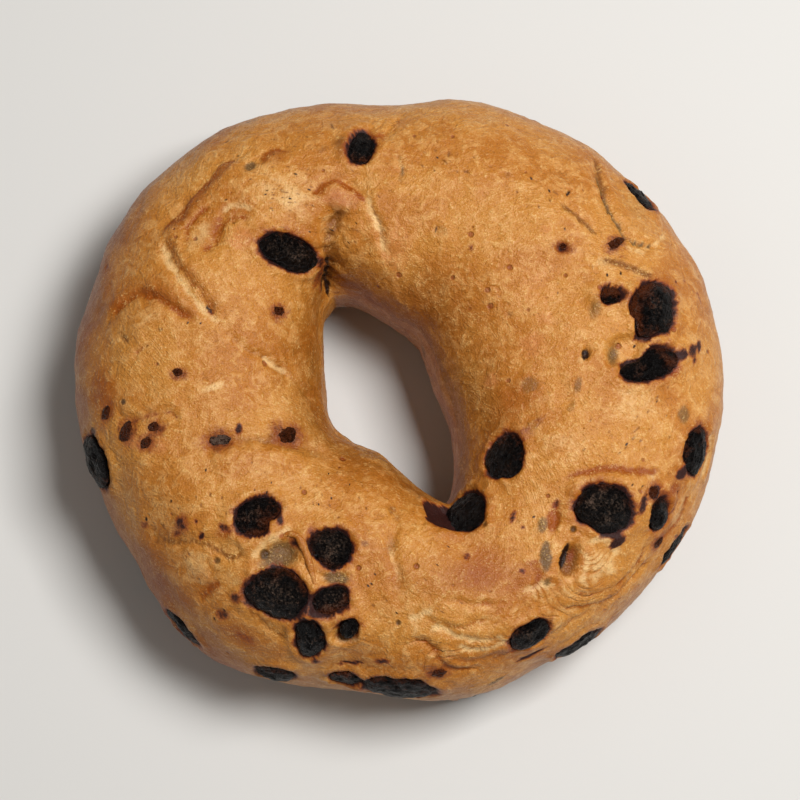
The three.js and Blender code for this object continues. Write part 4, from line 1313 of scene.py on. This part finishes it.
@dataclass
class Scraps:
    """The fused crumbs of fruit, as one piece."""

    ground: Ground
    finish: bpy.types.Material
    proud: float = 0.45
    levels: int = 4

    @staticmethod
    def scraps() -> tuple[Scrap, ...]:
        """Every crumb, at the same pixel as in the solid and about as large."""
        return (
            Scrap((279, 311), 2.6, 2.0, 0, 1.1, 0.2), Scrap((178, 372), 2.0, 1.6, 0, 1.4, 0.0),
            Scrap((106, 413), 3.0, 2.0, 60, 1.0, 0.4), Scrap((125, 432), 4.0, 2.4, 68, 0.8, 0.3),
            Scrap((154, 427), 2.2, 1.8, 0, 1.1, 0.2), Scrap((146, 443), 2.5, 2.0, 40, 1.0, 0.4),
            Scrap((221, 440), 4.0, 2.5, 0, 0.5, 1.1), Scrap((288, 436), 4.4, 3.0, 0, 0.8, 0.3),
            Scrap((439, 673), 2.8, 2.0, 0, 1.0, 0.2), Scrap((654, 492), 2.6, 2.0, 70, 0.9, 0.2),
            Scrap((616, 243), 3.8, 2.0, 40, 1.3, 0.1), Scrap((563, 246), 2.0, 1.6, 0, 1.2, 0.1),
            Scrap((658, 543), 2.8, 2.0, 55, 0.9, 0.3),
        )

    def build(self) -> bpy.types.Object:
        """Model and dress the crumbs.

        Returns:
            Their piece, which stands for part of the bread's solid.
        """
        bm = bmesh.new()
        ruddy, dust = [], []
        for number, scrap in enumerate(self.scraps()):
            made = bmesh.ops.create_icosphere(bm, subdivisions=self.levels, radius=1.0)["verts"]
            ball = np.array([vert.co for vert in made])
            for vert, place in zip(made, self._crumble(ball, scrap, number) * MM):
                vert.co = place
            ruddy += [scrap.ruddy] * len(made)
            dust += [scrap.dust] * len(made)
        mesh = finish_mesh(bm, "fruit_scraps")
        set_attribute(mesh, "ruddy", np.array(ruddy))
        # Dust and painted sheen of each crumb, as on the fruits.
        set_attribute(mesh, "dust", np.array(dust))
        piece = new_piece("fruit_scraps", mesh, self.finish)
        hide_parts("bread")
        return piece

    def _crumble(self, ball: np.ndarray, scrap: Scrap, number: int) -> np.ndarray:
        """Turn a unit ball into one crumb in its place, in millimetres."""
        spot, _ = self.ground.under(scrap.at)
        lean = self.ground.tilt(scrap.at)
        turn = math.radians(scrap.turn)
        right = unit(np.cross(np.cross(lean, [1.0, 0.0, 0.0]), lean))
        long_axis = math.cos(turn) * right + math.sin(turn) * np.cross(lean, right)
        axes = np.stack([long_axis, np.cross(lean, long_axis), lean])
        ragged = 0.95 + 0.3 * wander(ball, 0.7, number + 60.0) + 0.16 * wander(ball, 0.25, number + 80.0, 2)
        half = np.array([scrap.long / 2, scrap.wide / 2, 2.0 * self.proud])
        shape = ball * half * np.column_stack([ragged, ragged, 0.8 + 0.2 * ragged])
        shape[:, 2] = np.minimum(shape[:, 2], self.proud * (1.6 + 0.8 * wander(ball, 0.3, number + 90.0)))
        return spot - self.proud * lean + shape @ axes


@dataclass
class Strand:
    """A thin thread of dough drawn out beside the fruits, along a route of pixels."""

    ground: Ground
    finish: bpy.types.Material
    route: tuple[Pair, ...] = (
        (281, 540), (288, 534), (298, 537), (304, 548), (309, 562), (313, 577), (316, 592),
    )
    radius: float = 0.62
    tone: Tone = Tone.AMBER
    tint: float = 0.5
    parts: int = 6
    sides: int = 12
    weld: float = 0.000004

    def build(self) -> bpy.types.Object:
        """Roll a grid up along the route and dress it.

        Returns:
            The thread, which stands for part of the bread's solid.
        """
        found = [self.ground.under(at) for at in self.route]
        lean = found[0][1]
        line = smooth_path(np.array([spot for spot, _ in found]), self.parts)
        bm = bmesh.new()
        bmesh.ops.create_grid(bm, x_segments=len(line) - 1, y_segments=self.sides, size=0.5)
        share = np.array([vert.co for vert in bm.verts]) + 0.5
        step = share[:, 0] * (len(line) - 1)
        index = np.clip(np.round(step).astype(int), 0, len(line) - 1)
        run = unit(np.gradient(line, axis=0))
        side = unit(np.cross(run, lean))[index]
        up = np.cross(side, run[index])
        turn = 2 * math.pi * share[:, 1]
        thick = self.radius * np.sqrt(np.sin(math.pi * np.clip(share[:, 0], 0.0, 1.0)).clip(0.0, 1.0))
        thick *= 1.0 + 0.3 * wander(line[index], 1.1, self.radius)
        ring = np.cos(turn)[:, None] * side + 0.8 * np.sin(turn)[:, None] * up
        for vert, place in zip(bm.verts, (line[index] + thick[:, None] * ring) * MM):
            vert.co = place
        bmesh.ops.remove_doubles(bm, verts=bm.verts, dist=self.weld)
        bmesh.ops.recalc_face_normals(bm, faces=bm.faces)
        mesh = finish_mesh(bm, "dough_strand")
        for tone in Tone:
            tint = self.tint if tone is self.tone else 0.0
            set_attribute(mesh, tone.value, np.full(len(mesh.vertices), tint))
        piece = new_piece("dough_strand", mesh, self.finish)
        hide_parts("bread")
        return piece


@dataclass
class DriedFruit:
    """One dried fruit, shrivelled from the egg shape of its solid."""

    seat: FruitSeat
    finish: bpy.types.Material
    levels: int = 5
    crown: float = 0.6

    def build(self) -> bpy.types.Object:
        """Model and dress the fruit.

        Returns:
            The fruit, which stands for its solid.
        """
        bm = bmesh.new()
        bmesh.ops.create_icosphere(bm, subdivisions=self.levels, radius=1.0)
        name = f"fruit_{self.seat.number:02d}"
        mesh = finish_mesh(bm, name)
        ball = vertex_places(mesh)
        mesh.vertices.foreach_set("co", (self._shrivel(ball) * MM).ravel())
        self._tint(mesh, ball)
        mesh.update()
        piece = new_piece(name, mesh, self.finish)
        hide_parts(self.seat.name)
        return piece

    def _shrivel(self, ball: np.ndarray) -> np.ndarray:
        """Fold a unit ball into the fruit's shape, in millimetres."""
        seed = float(self.seat.number)
        look = self.seat.look
        lying = ball[:, 2] * np.where(ball[:, 2] > 0, self.crown, 1.0)
        shape = np.column_stack([ball[:, :2], lying]) * np.array(self.seat.half)
        shape[:, :2] *= self.seat.outline(unit(ball[:, :2] + 1e-6))[:, None]
        stretched = shape * np.array([0.55, 1.0, 1.0])
        ridges = 1.0 - 2.4 * np.abs(wander(stretched, 1.9, seed + 3.0, 2))
        small = 1.0 - 2.0 * np.abs(wander(stretched, 0.6, seed + 9.0))
        lift = look.wrinkle * (0.6 * (ridges - 0.6) + 0.25 * (small - 0.6))
        shape = shape + ball * np.array([0.4, 0.4, 1.0]) * lift[:, None]
        axes = np.stack([self.seat.long_axis, self.seat.wide_axis, self.seat.outward])
        return self.seat.middle + shape @ axes

    def _tint(self, mesh: bpy.types.Mesh, ball: np.ndarray) -> None:
        """Write how ruddy each vertex is, and how much dust and painted sheen it has."""
        look = self.seat.look
        towards = math.radians(look.ruddy_from)
        side = ball[:, 0] * math.cos(towards) + ball[:, 1] * math.sin(towards)
        rim = 1.0 - ball[:, 2]
        set_attribute(mesh, "ruddy", look.ruddy * (0.5 + 0.5 * side) + 0.3 * rim)
        # Dust and painted sheen, strongest on the crown.
        set_attribute(mesh, "dust", look.dust * smooth_step(0.2, 1.0, ball[:, 2]))


@dataclass
class FruitSet:
    """All the fruits, each told apart by its look."""

    form: RingForm
    finish: bpy.types.Material
    seed: int = 11
    large_half: float = 3.3

    def looks(self) -> dict[int, FruitLook]:
        """Looks of the fruits that differ from the rest, by number."""
        return {
            3: FruitLook(dust=0.6, ruddy=0.2),
            4: FruitLook(((98, 0.14), (308, 0.3), (200, 0.1)), 0.7, 300.0, 0.5),
            5: FruitLook((), 0.5, 200.0, 0.8),
            6: FruitLook((), 0.5, 90.0, 0.8),
            7: FruitLook((), 0.6, 250.0, 0.6),
            13: FruitLook((), 0.5, 90.0, -0.3),
            15: FruitLook((), 0.05, 90.0, -0.5, halo=0.3),
            16: FruitLook(((250, 0.12), (60, 0.08)), 0.3, 60.0, 0.9),
            19: FruitLook(((150, 0.16), (215, 0.1), (10, 0.1)), 0.8, 95.0, 0.5),
            20: FruitLook(((128, 0.5), (95, 0.2)), 0.5, 0.0, 0.2),
            21: FruitLook((), 1.4, 90.0, 0.2),
            22: FruitLook(dust=0.6, ruddy=0.2),
        }

    def seats(self) -> list[FruitSeat]:
        """Where every fruit lies, in the order of their names."""
        names = sorted(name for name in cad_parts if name.startswith("berry_"))
        looks = self.looks()
        draw = np.random.default_rng(self.seed)
        made = []
        for number, name in enumerate(names, start=1):
            plain = FruitLook((), draw.uniform(0.2, 0.6), draw.uniform(0, 360), draw.uniform(0.1, 0.6))
            made.append(FruitSeat.of_node(name, number, looks.get(number, plain), self.form))
        return made

    def build(self, seats: list[FruitSeat]) -> list[bpy.types.Object]:
        """Model and dress every fruit.

        Args:
            seats: Where the fruits lie.

        Returns:
            The fruits.
        """
        made = []
        for seat in seats:
            levels = DriedFruit.levels if seat.half[0] > self.large_half else DriedFruit.levels - 1
            made.append(DriedFruit(seat, self.finish, levels).build())
        return made


@dataclass(frozen=True)
class Studio:
    """Plain pale floor and soft lights, in metres and watts."""

    floor_size: float = 4.0
    key_place: Triple = (0.22, 0.07, 0.56)
    key_size: float = 0.22
    key_power: float = 4.1
    fill_place: Triple = (-0.45, -0.15, 0.45)
    fill_size: float = 0.6
    fill_power: float = 0.3
    sky: float = 0.15
    sky_colour: Triple = (1.0, 0.95, 0.88)

    def build(self) -> None:
        """Make the floor, the lights and the surrounding sky."""
        bm = bmesh.new()
        bmesh.ops.create_grid(bm, x_segments=1, y_segments=1, size=self.floor_size / 2)
        mesh = finish_mesh(bm, "floor")
        mesh.materials.append(FloorFinish().material())
        floor = bpy.data.objects.new("floor", mesh)
        bpy.context.collection.objects.link(floor)
        self._light("key_light", self.key_place, self.key_size, self.key_power)
        self._light("fill_light", self.fill_place, self.fill_size, self.fill_power)
        world = bpy.data.worlds.new("studio")
        world.use_nodes = True
        background = world.node_tree.nodes["Background"]
        background.inputs["Color"].default_value = (*self.sky_colour, 1.0)
        background.inputs["Strength"].default_value = self.sky
        bpy.context.scene.world = world
        bpy.context.scene.view_settings.view_transform = "Standard"

    @staticmethod
    def _light(name: str, place: Triple, size: float, power: float) -> None:
        """Make a square soft light that faces the object.

        Args:
            name: The light's name.
            place: Where it hangs.
            size: Length of its sides.
            power: Its power.
        """
        data = bpy.data.lights.new(name, "AREA")
        data.energy, data.size = power, size
        light = bpy.data.objects.new(name, data)
        light.location = place
        light.rotation_mode = "QUATERNION"
        light.rotation_quaternion = Vector(place).to_track_quat("Z", "Y")
        bpy.context.collection.objects.link(light)


def main() -> None:
    """Build the camera, the crust, the fruits and the studio."""
    logging.basicConfig(level=logging.INFO, format="%(name)s: %(message)s")
    form = RingForm()
    view = ReferenceView()
    view.build()
    crust_skin, fruit_skin = CrustFinish().material(), FruitFinish().material()
    fruits = FruitSet(form, fruit_skin)
    seats = fruits.seats()
    crust = Crust(form, view, crust_skin).build(seats)
    made = fruits.build(seats)
    bpy.context.view_layer.update()
    ground = Ground(view, (crust, *made))
    Scraps(ground, fruit_skin).build()
    Strand(ground, crust_skin).build()
    Studio().build()


if __name__ == "__main__":
    main()
